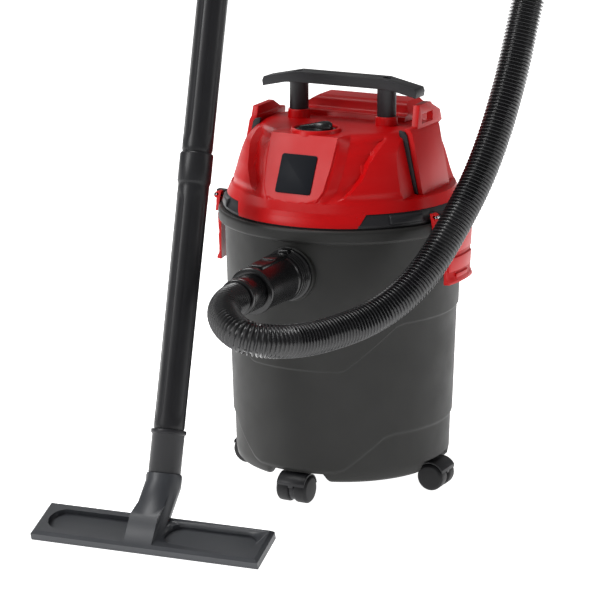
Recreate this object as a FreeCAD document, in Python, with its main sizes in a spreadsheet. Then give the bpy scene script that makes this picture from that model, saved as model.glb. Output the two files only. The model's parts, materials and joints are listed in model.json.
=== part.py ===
import FreeCAD, Part
import math
import os
import types

import Sketcher
from FreeCAD import Placement, Rotation, Vector

# Wet and dry shop vacuum with its hose, two wand tubes and floor nozzle, in millimetres.
# +Z is up and the floor is z = 0. The origin is on the floor below the middle of the tank.
# The hose inlet faces -Y and the blower outlet faces +Y.

doc = FreeCAD.newDocument("shop_vacuum")


# ---------------------------------------------------------------- driving dimensions
DIMENSIONS = {
    # clearances
    "flat_gap": 0.3,             # between pieces that move past each other
    "running_gap": 0.06,         # radial, at pins and shafts
    "push_gap": 0.1,             # radial, at pushed-together tubes
    # tank
    "tank_radius": 150,          # outside of the wall, at the top
    "tank_taper": 9,             # how much smaller the wall's radius is at the bottom
    "tank_wall": 3.1,
    "tank_rim_top": 355,         # height of the face that the head sits on
    "floor_over_wheels": 21,     # underside of the tank's floor, above the wheels' tops
    "tank_floor_thickness": 3,
    "foot_below_wheel_tops": 7,  # lowest edge of the tank's skirt
    "rim_overhang": 8.5,
    "rim_depth": 17,
    "arch_half_width": 36,
    "arch_over_wheels": 4,
    # casters
    "caster_inset": 23,          # swivel axes, inwards from the wall's low radius
    "caster_trail": 14,
    "wheel_radius": 17.5,
    "wheel_width": 17.5,
    "caster_web": 6.6,           # web between the twin wheels
    "hood_thickness": 1.8,
    "hood_half_width": 19,
    "caster_boss_radius": 9,
    "caster_boss_drop": 15,
    "stem_radius": 4,
    "axle_radius": 2,
    # hose inlet
    "inlet_drop": 58,            # inlet axis below the rim's top
    "inlet_boss_radius": 34,
    "inlet_boss_face": 3,        # proud of the tank's wall
    "inlet_boss_depth": 11,
    "inlet_spigot_radius": 24.8,
    "inlet_bore": 21.5,
    "inlet_flange": 32.5,
    "inlet_flange_thickness": 5,
    "inlet_collar_radius": 30,
    "inlet_collar_length": 13,
    "inlet_nut_thickness": 8,
    "gasket_thickness": 1,
    "connector_nose_radius": 25.95,
    "connector_barrel": 28,
    "connector_length": 80,
    "connector_bore": 21,
    "connector_lip": 7,
    "cuff_radius": 22.5,
    "cuff_length": 35,
    "cuff_grip": 28,
    "button_length": 25,
    "button_half_width": 8,
    "button_height": 5.2,
    "button_travel": 2,
    # hose
    "hose_radius": 20,
    "hose_wall": 4,
    # head base and cover
    "head_plate_thickness": 4,
    "seal_thickness": 2,
    "motor_eye_radius": 30,
    "base_spigot_depth": 13,
    "base_ring_height": 15.7,
    "cover_wall": 2.6,
    "deck_height": 108,          # middle of the deck above the rim's top
    "bib_half_width": 80,
    "pad_half_width": 45,
    "pad_foot_half_width": 32,
    "side_flat_inset": 50,       # cover's side flats, inwards from the tank's radius, at the deck
    "side_flat_slope": 0.24,
    "wing_gap": 2.5,
    "wing_half_length": 40,
    "wing_thickness": 10.7,
    "hump_half_width": 76,
    "hump_height": 24,
    "knob_forward": 78.5,
    "knob_ring_radius": 31,
    "knob_ring_wall": 4.5,
    "knob_ring_rise": 4.5,
    "knob_shaft_radius": 3,
    "switch_block_side": 24,
    "switch_block_height": 22,
    "screw_inset": 25,           # cover screws, inwards from the tank's radius
    "screw_radius": 2,
    "post_radius": 5,
    # carry handle
    "handle_post_spread": 61,
    "handle_post_radius": 12,
    "handle_post_back": -4,
    "handle_boss_radius": 14,
    "handle_boss_rise": 11,
    "handle_rise": 35,
    "handle_half_span": 106,
    "handle_depth": 26,
    "handle_screw_radius": 2.4,
    # latches
    "latch_half_width": 37,
    "latch_bar_half_width": 57,
    "latch_thickness": 3.2,
    "latch_drop": 80,            # lowest edge below the rim's top
    "latch_pivot_out": 4,        # pivot outside the tank's wall radius
    "latch_pivot_rise": 9,
    "latch_pin_radius": 2,
    # motor, filter and float
    "motor_radius": 61.5,
    "motor_wall": 3.5,
    "motor_height": 77,
    "motor_shelf": 25,
    "stator_radius": 44,
    "stator_height": 34,
    "rotor_radius": 28.5,
    "air_gap": 1.5,
    "shaft_radius": 4,
    "bearing_radius": 10,
    "bearing_width": 5,
    "impeller_radius": 52,
    "impeller_height": 17,
    "outlet_radius": 24,
    "outlet_wall": 3.5,
    "outlet_lip": 4,             # radial
    "outlet_over_crease": 2,     # lip's lowest point above the cover's crease
    "outlet_proud": 19,          # beyond the dome at the outlet's height
    "cage_radius": 58,
    "cage_length": 142,
    "cage_wall": 3,
    "cage_flange_radius": 70,
    "cage_flange_thickness": 6,
    "foam_thickness": 7.7,
    "float_radius": 42,
    "float_length": 85,
    # wand: neck, two tubes and handle, lengths along the tube's axis
    "tube_pitch": 340,
    "tube_socket_depth": 32,
    "tube_socket_radius": 20.5,
    "tube_end_radius": 18,
    "tube_radius": 19.2,
    "tube_wall": 2,
    "neck_length": 65,
    "neck_radius": 22,
    "neck_lean": 48,             # neck from the vertical, below its elbow
    "elbow_height": 52,          # elbow, along the tube's axis from its foot
    "adapter_radius": 19.8,
    "adapter_reach": 53,         # adapter's visible length above the neck
    "adapter_depth": 20,         # adapter's length inside the neck
    "adapter_plug_radius": 17.5,
    "grip_radius": 19.5,
    "grip_bend_radius": 120,
    "grip_bend_turn": 55,
    "grip_straight": 45,
    "end_cuff_length": 34,
    "regulator_length": 22,
    "regulator_wall": 2.2,
    "wand_lean": 20,
    "wand_yaw": 10.4,
    # floor nozzle
    "nozzle_width": 295,
    "nozzle_depth": 60,
    "nozzle_yaw": 5.4,
    "nozzle_tilt": 20,           # plate, raised at its back
    "nozzle_height": 15,
    "nozzle_ground_gap": 2,
    "mouth_half_width": 130,
    "mouth_half_depth": 8,
    "strip_width": 5,
}


class Size:
    """A length that keeps its value and the spreadsheet expression that gives it."""

    def __init__(self, text, value):
        self.text = text
        self.value = float(value)

    def __float__(self):
        return self.value

    def _mix(self, other, sign, turned=False):
        first, second = (other, self) if turned else (self, other)
        left = first.text if isinstance(first, Size) else repr(float(first))
        right = second.text if isinstance(second, Size) else repr(float(second))
        a, b = float(first), float(second)
        value = {"+": a + b, "-": a - b, "*": a * b, "/": a / b if b else 0.0}[sign]
        return Size(f"({left} {sign} {right})", value)

    def __add__(self, other):
        return self._mix(other, "+")

    def __radd__(self, other):
        return self._mix(other, "+", True)

    def __sub__(self, other):
        return self._mix(other, "-")

    def __rsub__(self, other):
        return self._mix(other, "-", True)

    def __mul__(self, other):
        return self._mix(other, "*")

    def __rmul__(self, other):
        return self._mix(other, "*", True)

    def __truediv__(self, other):
        return self._mix(other, "/")

    def __neg__(self):
        return self._mix(-1.0, "*")


def write_sheet():
    """The spreadsheet of driving dimensions, and a namespace that holds a Size for each."""
    sheet = doc.addObject("Spreadsheet::Sheet", "Dims")
    sizes = types.SimpleNamespace()
    for row, (alias, value) in enumerate(DIMENSIONS.items(), start=1):
        sheet.set(f"A{row}", alias)
        sheet.set(f"B{row}", str(value))
        sheet.setAlias(f"B{row}", alias)
        setattr(sizes, alias, Size(f"Dims.{alias}", value))
    doc.recompute()
    return sizes


d = write_sheet()


# ---------------------------------------------------------------- modelling helpers
TURNS = {
    "Z": Rotation(),
    "X": Rotation(Vector(0, 1, 0), 90),
    "Y": Rotation(Vector(1, 0, 0), -90),
}
SKETCH_PLANES = {"X": "YZ_Plane", "Y": "XZ_Plane", "Z": "XY_Plane"}
NODES = []


def bind(obj, prop, value):
    """Give obj's property a number, or an expression on the spreadsheet."""
    if isinstance(value, Size):
        obj.setExpression(prop, value.text)
    else:
        setattr(obj, prop, value)


def put(obj, spot, rotation=None):
    """Place obj at the three coordinates in spot, each a number or a Size."""
    obj.Placement = Placement(Vector(*[float(c) for c in spot]), rotation or Rotation())
    for letter, value in zip("xyz", spot):
        if isinstance(value, Size):
            obj.setExpression(f"Placement.Base.{letter}", value.text)
    return obj


def outline(body, plane, points):
    """A closed sketch of straight lines through points, every corner bound to its sizes."""
    sketch = body.newObject("Sketcher::SketchObject", body.Name + "_outline")
    origin = next(f for f in body.Origin.OriginFeatures if f.Role == plane)
    sketch.AttachmentSupport = [(origin, "")]
    sketch.MapMode = "FlatFace"
    count = len(points)
    flat = [Vector(float(x), float(y), 0) for x, y in points]
    lines = [Part.LineSegment(flat[i], flat[(i + 1) % count]) for i in range(count)]
    sketch.addGeometry(lines, False)
    rules = [Sketcher.Constraint("Coincident", i, 2, (i + 1) % count, 1) for i in range(count)]
    values = []
    for i, (x, y) in enumerate(points):
        rules.append(Sketcher.Constraint("DistanceX", -1, 1, i, 1, float(x)))
        rules.append(Sketcher.Constraint("DistanceY", -1, 1, i, 1, float(y)))
        values += [x, y]
    sketch.addConstraint(rules)
    for i, value in enumerate(values):
        if isinstance(value, Size):
            sketch.setExpression(f"Constraints[{count + i}]", value.text)
    return sketch


def lathe(name, profile, axis="Z", spot=(0, 0, 0)):
    """A body turned about the axis, from profile points (radius, distance along the axis)."""
    body = doc.addObject("PartDesign::Body", name)
    turn = body.newObject("PartDesign::Revolution", name + "_turn")
    turn.Profile = outline(body, "XZ_Plane", profile)
    turn.ReferenceAxis = (turn.Profile[0], ["V_Axis"])
    turn.Angle = 360
    return put(body, spot, TURNS[axis])


def prism(name, axis, points, start, end):
    """A body with its outline across the axis, from start to end along it."""
    body = doc.addObject("PartDesign::Body", name)
    pad = body.newObject("PartDesign::Pad", name + "_pad")
    pad.Profile = outline(body, SKETCH_PLANES[axis], points)
    bind(pad, "Length", end - start)
    first = end if axis == "Y" else start          # a pad on the XZ plane grows towards -Y
    return put(body, [first if letter == axis else 0 for letter in "XYZ"])


def rod(name, radius, start, end, axis="Z", spot=(0, 0)):
    """A cylinder along the axis from start to end; spot holds its other two coordinates."""
    piece = doc.addObject("Part::Cylinder", name)
    bind(piece, "Radius", radius)
    bind(piece, "Height", end - start)
    others = iter(spot)
    return put(piece, [start if letter == axis else next(others) for letter in "XYZ"], TURNS[axis])


def block(name, low, high):
    """A box from its low corner to its high corner."""
    piece = doc.addObject("Part::Box", name)
    for prop, a, b in zip(("Length", "Width", "Height"), low, high):
        bind(piece, prop, b - a)
    return put(piece, low)


def joined(name, *pieces):
    fuse = doc.addObject("Part::MultiFuse", name)
    fuse.Shapes = list(pieces)
    fuse.Refine = True
    return fuse


def shared(name, *pieces):
    common = doc.addObject("Part::MultiCommon", name)
    common.Shapes = list(pieces)
    return common


def cut(name, base, *tools):
    """base less all the tools."""
    piece = doc.addObject("Part::Cut", name)
    piece.Base = base
    piece.Tool = tools[0] if len(tools) == 1 else joined(name + "_tools", *tools)
    return piece


def moulded(name, shape):
    """A shape made with Part's own functions, for forms that no feature gives."""
    piece = doc.addObject("Part::Feature", name)
    piece.Shape = shape
    return piece


def node(obj, label):
    """Keep obj as the sub-part called label."""
    obj.Label = label
    NODES.append(obj)
    return obj


# ---------------------------------------------------------------- heights and radii shared by pieces
rim = d.tank_rim_top
rim_radius = d.tank_radius + d.rim_overhang
bowl_radius = d.tank_radius - d.tank_wall                 # inside of the rim
low_radius = d.tank_radius - d.tank_taper
wheel_top = d.wheel_radius * 2
tank_floor = wheel_top + d.floor_over_wheels
tank_foot = wheel_top - d.foot_below_wheel_tops
arch_top = wheel_top + d.arch_over_wheels
caster_circle = low_radius - d.caster_inset
inlet_height = rim - d.inlet_drop
plate_low = rim + d.seal_thickness
plate_top = plate_low + d.head_plate_thickness


def mirrored_x(points):
    """The outline closed by its own mirror image across X = 0."""
    return points + [(-x, y) for x, y in reversed(points)]


# ---------------------------------------------------------------- tank
def build_tank():
    low = low_radius
    inner_low = low - d.tank_wall
    floor_top = tank_floor + d.tank_floor_thickness
    rim_low = rim - d.rim_depth
    shell = lathe("tank_shell", [
        (0, tank_floor), (inner_low + 0.5, tank_floor), (inner_low, tank_foot + 13),
        (low - 5, tank_foot + 6.5), (low - 10, tank_foot + 3), (low - 11.5, tank_foot),
        (low - 8, tank_foot), (low - 2.4, tank_foot + 4), (low, tank_foot + 12),
        (d.tank_radius, rim_low), (rim_radius - 3.5, rim_low), (rim_radius, rim_low + 3),
        (rim_radius, rim - 3), (rim_radius - 2.5, rim), (bowl_radius, rim),
        (bowl_radius, rim_low), (low - d.tank_wall + 1, floor_top + 4),
        (inner_low - 2, floor_top), (0, floor_top),
    ])
    axis_y = -(d.tank_radius + d.inlet_boss_face)
    boss = rod("tank_inlet_boss", d.inlet_boss_radius, axis_y, axis_y + d.inlet_boss_depth,
               "Y", (0, inlet_height))
    bosses, bores = [], []
    for i, angle in enumerate((0, 90, 180, 270)):
        x = caster_circle * math.cos(math.radians(angle))
        y = caster_circle * math.sin(math.radians(angle))
        bosses.append(rod(f"caster_boss_{i}", d.caster_boss_radius,
                          tank_floor - d.caster_boss_drop, tank_floor + 1, "Z", (x, y)))
        bores.append(rod(f"caster_bore_{i}", d.stem_radius + d.running_gap,
                         tank_floor - d.caster_boss_drop - 1, tank_floor - 1, "Z", (x, y)))
    body = joined("tank_body", shell, boss, *bosses)
    half = d.arch_half_width
    arch = mirrored_x([(half + 9.5, tank_foot - 2), (half, arch_top)])
    reach = d.tank_radius + 20
    arches = [prism("arch_front_back", "Y", arch, -reach, reach),
              prism("arch_sides", "X", arch, -reach, reach)]
    core = lathe("arch_core", [(0, 0), (caster_circle, 0), (caster_circle, arch_top + 1),
                               (0, arch_top + 1)])
    openings = [cut(f"arch_opening_{i}", arch_body, core) for i, arch_body in enumerate(arches)]
    inlet_bore = rod("tank_inlet_bore", d.inlet_spigot_radius + 0.2, axis_y - 1,
                     axis_y + d.inlet_boss_depth + 1, "Y", (0, inlet_height))
    node(cut("tank_cut", body, inlet_bore, *bores, *openings), "tank")


# ---------------------------------------------------------------- casters
def build_casters():
    radius = d.wheel_radius
    web = d.caster_web / 2
    hood_radius = radius + 0.7 + d.hood_thickness
    boss_low = tank_floor - d.caster_boss_drop
    for place, angle in (("front", -90), ("right", 0), ("back", 90), ("left", 180)):
        tag = "caster_" + place
        trail = d.caster_trail
        hood = rod(tag + "_hood", hood_radius, -d.hood_half_width, d.hood_half_width, "Y",
                   (trail, radius))
        keep = block(tag + "_hood_space", (trail - 30, -30, radius + 4), (trail + 17, 30, 60))
        hub = rod(tag + "_hub", d.caster_boss_radius - 1, radius + 8, boss_low - 0.2, "Z")
        stem = rod(tag + "_stem", d.stem_radius, boss_low - 1, tank_floor - 1.5, "Z")
        web_disc = rod(tag + "_web", radius - 2.5, -web, web, "Y", (trail, radius))
        solid = joined(tag + "_solid", shared(tag + "_cap", hood, keep), hub, stem, web_disc)
        wells = [rod(f"{tag}_well_{side}", radius + 0.7, start, start + 40, "Y", (trail, radius))
                 for side, start in (("a", web), ("b", -web - 40))]
        bore = rod(tag + "_bore", d.axle_radius, -web - 1, web + 1, "Y", (trail, radius))
        housing = cut(tag + "_housing_cut", solid, bore, *wells)
        outer = web + d.flat_gap + d.wheel_width
        axle = rod(tag + "_axle", d.axle_radius, -(outer - 2), outer - 2, "Y", (trail, radius))
        wheels = []
        for side, way in (("a", 1), ("b", -1)):
            inner = web + d.flat_gap
            profile = [(0, outer - 1.2), (d.axle_radius + d.running_gap, outer - 1.2),
                       (d.axle_radius + d.running_gap, inner), (radius - 1.5, inner),
                       (radius, inner + 1.5), (radius, outer - 3), (radius - 3, outer), (0, outer)]
            wheels.append(lathe(f"{tag}_wheel_{side}", [(r, way * y) for r, y in profile],
                                "Y", (trail, 0, radius)))
        pair = doc.addObject("Part::Compound", tag + "_wheel_pair")
        pair.Links = wheels
        turn = Rotation(Vector(0, 0, 1), angle)
        spot = turn.multVec(Vector(float(caster_circle), 0, 0))
        for piece, label in ((housing, "caster_housing_"), (axle, "caster_axle_"),
                             (pair, "caster_wheels_")):
            group = doc.addObject("Part::Compound", label + place + "_placed")
            group.Links = [piece]
            group.Placement = Placement(spot, turn)
            node(group, label + place)


# ---------------------------------------------------------------- hose inlet and its connector
wall_face = -(d.tank_radius + d.inlet_boss_face)          # front of the tank's inlet boss
flange_back = wall_face - d.gasket_thickness
flange_face = flange_back - d.inlet_flange_thickness
collar_end = flange_face - d.inlet_collar_length
connector_end = collar_end - d.connector_length
cuff_start = connector_end - 1
cuff_end = cuff_start - d.cuff_length


def build_inlet():
    spot = (0, 0, inlet_height)
    spigot = d.inlet_spigot_radius
    inside = wall_face + d.inlet_boss_depth
    nut_end = inside + d.inlet_nut_thickness
    flange = d.inlet_flange
    node(lathe("inlet_gasket_ring", [
        (spigot + 0.5, wall_face), (spigot + 0.5, flange_back), (flange - 0.5, flange_back),
        (flange - 0.5, wall_face)], "Y", spot), "inlet_gasket")
    collar_bore = d.connector_nose_radius + 0.05
    node(lathe("inlet_socket_body", [
        (d.inlet_bore, nut_end), (spigot, nut_end), (spigot, flange_back), (flange, flange_back),
        (flange, flange_face + 1), (flange - 1, flange_face), (d.inlet_collar_radius, flange_face),
        (d.inlet_collar_radius, collar_end), (collar_bore, collar_end),
        (collar_bore, flange_face + 1), (d.inlet_bore, flange_face + 1)], "Y", spot), "inlet_socket")
    node(lathe("inlet_nut_ring", [
        (spigot + 0.2, inside), (flange - 0.5, inside), (flange - 0.5, nut_end),
        (spigot + 0.2, nut_end)], "Y", spot), "inlet_nut")

    nose = d.connector_nose_radius
    barrel = d.connector_barrel
    shoulder = collar_end - d.flat_gap
    lip = connector_end + d.connector_lip
    body = lathe("connector_body", [
        (d.connector_bore, flange_face - 1), (nose, flange_face - 1), (nose, shoulder),
        (barrel + 1, shoulder), (barrel + 1, shoulder - 6), (barrel, shoulder - 6),
        (barrel - 0.5, lip), (barrel + 1, lip), (barrel + 1, connector_end),
        (d.connector_bore, connector_end)], "Y", spot)
    half = d.button_half_width
    button_start = shoulder - 12
    button_end = button_start - d.button_length
    seat = barrel - 4
    ridge = block("connector_ridge", (-half - 2, lip + 5, inlet_height + d.connector_bore + 1),
                  (half + 2, shoulder - 1, inlet_height + barrel + 2))
    side = d.flat_gap
    pocket = block("connector_pocket", (-half - side, button_end - side, inlet_height + seat),
                   (half + side, button_start + side, inlet_height + barrel + 8))
    node(cut("connector_cut", joined("connector_solid", body, ridge), pocket), "hose_connector")
    low = seat + d.button_travel + side
    node(block("button_block", (-half, button_end, inlet_height + low),
               (half, button_start, inlet_height + low + d.button_height)), "release_button")

    sleeve = d.connector_bore - 0.05
    bore = d.hose_radius - d.hose_wall
    node(lathe("cuff_body", [
        (bore, connector_end + d.cuff_grip), (sleeve, connector_end + d.cuff_grip),
        (sleeve, cuff_start), (d.cuff_radius, cuff_start), (d.cuff_radius, cuff_end),
        (bore, cuff_end)], "Y", spot), "hose_cuff")


# ---------------------------------------------------------------- wand and handle
wand_foot = Vector(-80.4, -338.6, 15)                     # foot of the tube's axis
yaw = Rotation(Vector(0, 0, 1), float(d.wand_yaw))
wand_turn = yaw * Rotation(Vector(1, 0, 0), -float(d.wand_lean))
wand_spot = Placement(wand_foot, wand_turn)
lower_start = d.neck_length + 19                          # end of the lower tube, in the adapter
upper_start = lower_start + d.tube_pitch
grip_start = upper_start + d.tube_pitch
grip_bend = grip_start + d.tube_socket_depth + 30


def in_wand(piece):
    """piece, modelled along its own Z axis, set in the wand."""
    piece.Placement = wand_spot
    return piece


def tube_profile(start):
    """One wand tube: plain end, body and socket."""
    end = d.tube_end_radius
    body = d.tube_radius
    seat = start + d.tube_socket_depth
    socket_low = start + d.tube_pitch
    top = socket_low + d.tube_socket_depth
    bore = end + d.push_gap
    return [(end - d.tube_wall, start), (end, start), (end, seat + 2), (body - 0.4, seat + 5),
            (body, socket_low - 6), (d.tube_socket_radius, socket_low - 4),
            (d.tube_socket_radius, top), (bore, top), (bore, socket_low - 1),
            (end - d.tube_wall, socket_low - 3)]


def grip_path():
    """Straight, bend and straight, as a wire in the wand's own frame, and the end's frame."""
    turn = math.radians(float(d.grip_bend_turn))
    radius = float(d.grip_bend_radius)
    aim = wand_turn.inverted().multVec(Vector(1, 0.1, 0))
    aim.z = 0
    aim.normalize()
    up = Vector(0, 0, 1)
    start = up * float(grip_start + d.tube_socket_depth + 0.5)
    bend = up * float(grip_bend)

    def on_bend(angle):
        return bend + aim * (radius * (1 - math.cos(angle))) + up * (radius * math.sin(angle))

    heading = aim * math.sin(turn) + up * math.cos(turn)
    finish = on_bend(turn) + heading * float(d.grip_straight)
    wire = Part.Wire([Part.LineSegment(start, bend).toShape(),
                      Part.Arc(bend, on_bend(turn / 2), on_bend(turn)).toShape(),
                      Part.LineSegment(on_bend(turn), finish).toShape()])
    return wire, finish, heading


def swept(wire, radius):
    """A round bar of that radius along a wire."""
    first = wire.OrderedEdges[0]
    start = first.valueAt(first.FirstParameter)
    heading = first.tangentAt(first.FirstParameter)
    ring = Part.Wire(Part.Circle(start, heading, float(radius)).toShape())
    return wire.makePipeShell([ring], True, True)


def build_wand():
    plug = d.adapter_plug_radius
    top = d.neck_length + d.adapter_reach
    bore = d.tube_end_radius + d.push_gap
    node(in_wand(lathe("adapter_tube", [
        (plug - 1.5, d.neck_length - d.adapter_depth), (plug, d.neck_length - d.adapter_depth),
        (plug, d.neck_length + d.flat_gap), (d.adapter_radius, d.neck_length + d.flat_gap),
        (d.adapter_radius, top - 5), (d.adapter_radius + 1.8, top - 5),
        (d.adapter_radius + 1.8, top), (bore, top), (bore, lower_start - 1),
        (plug - 1.5, lower_start - 1)])), "neck_adapter")
    node(in_wand(lathe("lower_tube", tube_profile(lower_start))), "wand_lower")
    node(in_wand(lathe("upper_tube", tube_profile(upper_start))), "wand_upper")

    wire, finish, heading = grip_path()
    outer = swept(wire, d.grip_radius)
    inner = swept(wire, d.tube_end_radius - d.tube_wall)
    start = float(grip_start)
    seat = float(d.tube_socket_depth) + 0.5
    plug_out = Part.makeCylinder(float(d.tube_end_radius), seat, Vector(0, 0, start))
    plug_in = Part.makeCylinder(float(d.tube_end_radius - d.tube_wall), seat, Vector(0, 0, start))
    grip = outer.fuse(plug_out).cut(inner).cut(plug_in)
    grip = grip.removeSplitter()
    node(in_wand(moulded("grip_tube", grip)), "handle_tube")

    low = grip_start + d.tube_socket_depth + 4
    high = low + d.regulator_length
    inside = d.grip_radius + d.running_gap
    outside = inside + d.regulator_wall
    node(in_wand(lathe("regulator_ring", [
        (inside, low), (outside - 0.6, low), (outside, low + 2), (outside, high - 2),
        (outside - 0.6, high), (inside, high)])), "air_regulator")

    over = 14
    grip_bore = d.grip_radius + d.push_gap
    cuff = lathe("end_cuff_body", [
        (grip_bore, -over), (d.grip_radius + 3.5, -over), (d.grip_radius + 3.5, 2),
        (d.grip_radius + 2, d.end_cuff_length), (d.hose_radius - d.hose_wall, d.end_cuff_length),
        (d.hose_radius - d.hose_wall, 0.2), (grip_bore, 0.2)])
    turn = Rotation(Vector(0, 0, 1), heading)
    cuff.Placement = wand_spot * Placement(finish, turn)
    node(cuff, "hose_end_cuff")
    return cuff.Placement.multVec(Vector(0, 0, float(d.end_cuff_length)))


# ---------------------------------------------------------------- hose
HOSE_ROUTE = [
    (6, -334, 290), (28, -359, 282), (58, -371, 274), (84, -348, 268), (101, -309, 263),
    (119, -268, 264), (139, -222, 270), (160, -180, 287), (179, -137, 318), (192, -91, 364),
    (202, -45, 411), (208, -3, 466), (211, 38, 531), (212, 72, 601), (220, 97, 675),
    (232, 109, 750), (240, 112, 820), (226, 106, 890), (189, 91, 942), (136, 70, 974),
    (74, 43, 981),
]
HOSE_END_RUNS = (20, 53)                                  # straight runs at the two cuffs


def rounded_path(points):
    """Straight runs joined by tangent arcs, each as large as its two runs allow."""
    edges, radii = [], []
    here = points[0]
    for before, corner, after in zip(points, points[1:], points[2:]):
        into, out = corner - before, after - corner
        half = into.getAngle(out) / 2
        reach = 0.45 * min(into.Length, out.Length)
        radii.append(reach / math.tan(half))
        start = corner - into.normalize() * reach
        end = corner + out.normalize() * reach
        inward = (end - corner) + (start - corner)
        sagitta = radii[-1] * (1 / math.cos(half) - 1)
        middle = corner + inward.normalize() * sagitta
        edges.append(Part.LineSegment(here, start).toShape())
        edges.append(Part.Arc(start, middle, end).toShape())
        here = end
    edges.append(Part.LineSegment(here, points[-1]).toShape())
    return Part.Wire(edges), radii


def build_hose(grip_end):
    start = Vector(0, float(cuff_end), float(inlet_height))
    first, last = HOSE_END_RUNS
    points = [start, start + Vector(0, -first, 0)] + [Vector(*p) for p in HOSE_ROUTE]
    points += [grip_end + grip_heading() * last, grip_end]
    wire, radii = rounded_path(points)
    outer = swept(wire, d.hose_radius)
    inner = swept(wire, d.hose_radius - d.hose_wall)
    tube = outer.cut(inner)
    section = math.pi * (float(d.hose_radius) ** 2 - float(d.hose_radius - d.hose_wall) ** 2)
    print("hose length %.0f mm, radii %s" % (wire.Length, [round(r) for r in radii]))
    print("hose volume over section times length: %.4f" % (tube.Volume / (section * wire.Length)))
    node(moulded("hose_tube", tube), "hose")


def grip_heading():
    """The direction, in the world, that the handle's end points in."""
    return wand_spot.Rotation.multVec(grip_path()[2])


# ---------------------------------------------------------------- floor nozzle
# The nozzle is modelled flat, with its front towards -Y, and then tipped up about its front strip.
nozzle_touch = Vector(-70.2, -391.3, 0)                   # middle of the front strip's edge on the ground
nozzle_turn = (Rotation(Vector(0, 0, 1), float(d.nozzle_yaw))
               * Rotation(Vector(1, 0, 0), float(d.nozzle_tilt)))
strip_line = d.nozzle_depth / 2 - 7                       # strips' middles, from the plate's middle
strip_edge = Vector(0, -float(strip_line + d.strip_width / 2), 0)
nozzle_spot = Placement(nozzle_touch - nozzle_turn.multVec(strip_edge), nozzle_turn)


def in_nozzle(piece):
    """piece, modelled flat, set at the nozzle's place and tilt."""
    group = doc.addObject("Part::Compound", piece.Name + "_placed")
    group.Links = [piece]
    group.Placement = nozzle_spot
    return group


def neck_frames():
    """Placements of the neck below and above its elbow, in the flat nozzle's frame."""
    back = nozzle_spot.inverse()
    elbow = back.multVec(wand_spot.multVec(Vector(0, 0, float(d.elbow_height))))
    tube_way = back.Rotation.multVec(wand_turn.multVec(Vector(0, 0, 1)))
    lean = math.radians(float(d.neck_lean + d.nozzle_tilt))
    neck_way = Vector(0, math.sin(lean), math.cos(lean))
    up = Vector(0, 0, 1)
    return Placement(elbow, Rotation(up, neck_way)), Placement(elbow, Rotation(up, tube_way))


def build_nozzle():
    half = d.nozzle_width / 2
    back = d.nozzle_depth / 2
    low = d.nozzle_ground_gap
    top = d.nozzle_height
    plate = prism("nozzle_plate", "X", [
        (-back, low), (back, low), (back, top - 3), (back - 2.5, top), (-back + 3, top),
        (-back, top - 4)], -half, half)
    ends = prism("nozzle_ends", "Y", mirrored_x([(half, 0), (half, top - 4), (half - 5, top + 1)]),
                 -back, back)
    window_floor = top - 6.6
    recesses = []
    for side in (-1, 1):
        first, last = (37, half - 32) if side > 0 else (-(half - 32), -37)
        wide = block(f"nozzle_recess_{side + 1}", (first, -19, window_floor), (last, 19, top + 5))
        rounds = [rod(f"nozzle_recess_{side + 1}_{i}", 19, window_floor, top + 5, "Z", (x, 0))
                  for i, x in enumerate((first, last))]
        recesses.append(joined(f"nozzle_recess_{side + 1}_all", wide, *rounds))

    neck_place, tube_place = neck_frames()
    middle = neck_place.Base.x                            # the neck's middle across the plate
    panel = [(-back + 3, top), (1.5, top + 20)]           # flat front of the neck's root
    ahead = panel[1][0] + 3 * (panel[1][0] - panel[0][0])
    gusset = prism("nozzle_gusset", "X", [
        (-back + 3, top - 1), panel[0], panel[1], (24, top + 20), (back, top + 10), (back, top - 1)],
        middle - 18, middle + 18)
    radius = d.neck_radius
    neck = lathe("nozzle_neck_low", [(0, -95), (radius, -95), (radius, 0), (0, 0)])
    neck.Placement = neck_place
    elbow = moulded("nozzle_elbow", Part.makeSphere(float(radius), neck_place.Base))
    collar = lathe("nozzle_neck_high", [
        (0, 0), (radius, 0), (radius, d.neck_length - d.elbow_height - 3),
        (radius - 1, d.neck_length - d.elbow_height), (0, d.neck_length - d.elbow_height)])
    collar.Placement = tube_place
    front = prism("nozzle_front_cut", "X", [
        (-160, -60), (-back, -60), (-back, top - 4), panel[0], (ahead, top + 80), (-160, top + 80)],
        -80, 80)
    under = block("nozzle_under", (-80, -160, -80), (80, 160, low))
    root = cut("nozzle_root", joined("nozzle_neck", neck, elbow, collar), front, under)

    bore_radius = d.adapter_plug_radius + d.push_gap
    socket_low = d.neck_length - d.adapter_depth - d.elbow_height - 0.5
    socket = lathe("nozzle_socket_bore", [
        (0, socket_low), (bore_radius, socket_low), (bore_radius, 40), (0, 40)])
    socket.Placement = tube_place
    duct = lathe("nozzle_duct", [(0, -80), (7, -80), (7, -30), (15.5, -25), (15.5, 1), (0, 1)])
    duct.Placement = neck_place
    mouth = block("nozzle_mouth", (-d.mouth_half_width, -d.mouth_half_depth, low - 1),
                  (d.mouth_half_width, d.mouth_half_depth, top - 8.1))
    strip = d.strip_width / 2
    grooves = [block(f"nozzle_groove_{i}", (-half + 9.8, y - strip - 0.2, low - 1),
                     (half - 9.8, y + strip + 0.2, low + 3))
               for i, y in enumerate((-strip_line, strip_line))]
    lower = cut("nozzle_plate_cut", shared("nozzle_plate_shaped", plate, ends), *recesses)
    whole = cut("nozzle_cut", joined("nozzle_solid", lower, gusset, root), mouth, socket, duct, *grooves)
    node(in_nozzle(whole), "nozzle_body")
    for name, y in (("nozzle_front_strip", -strip_line), ("nozzle_rear_strip", strip_line)):
        bar = block(name + "_bar", (-half + 10, y - strip, 0), (half - 10, y + strip, low + 3))
        node(in_nozzle(bar), name)


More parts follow.
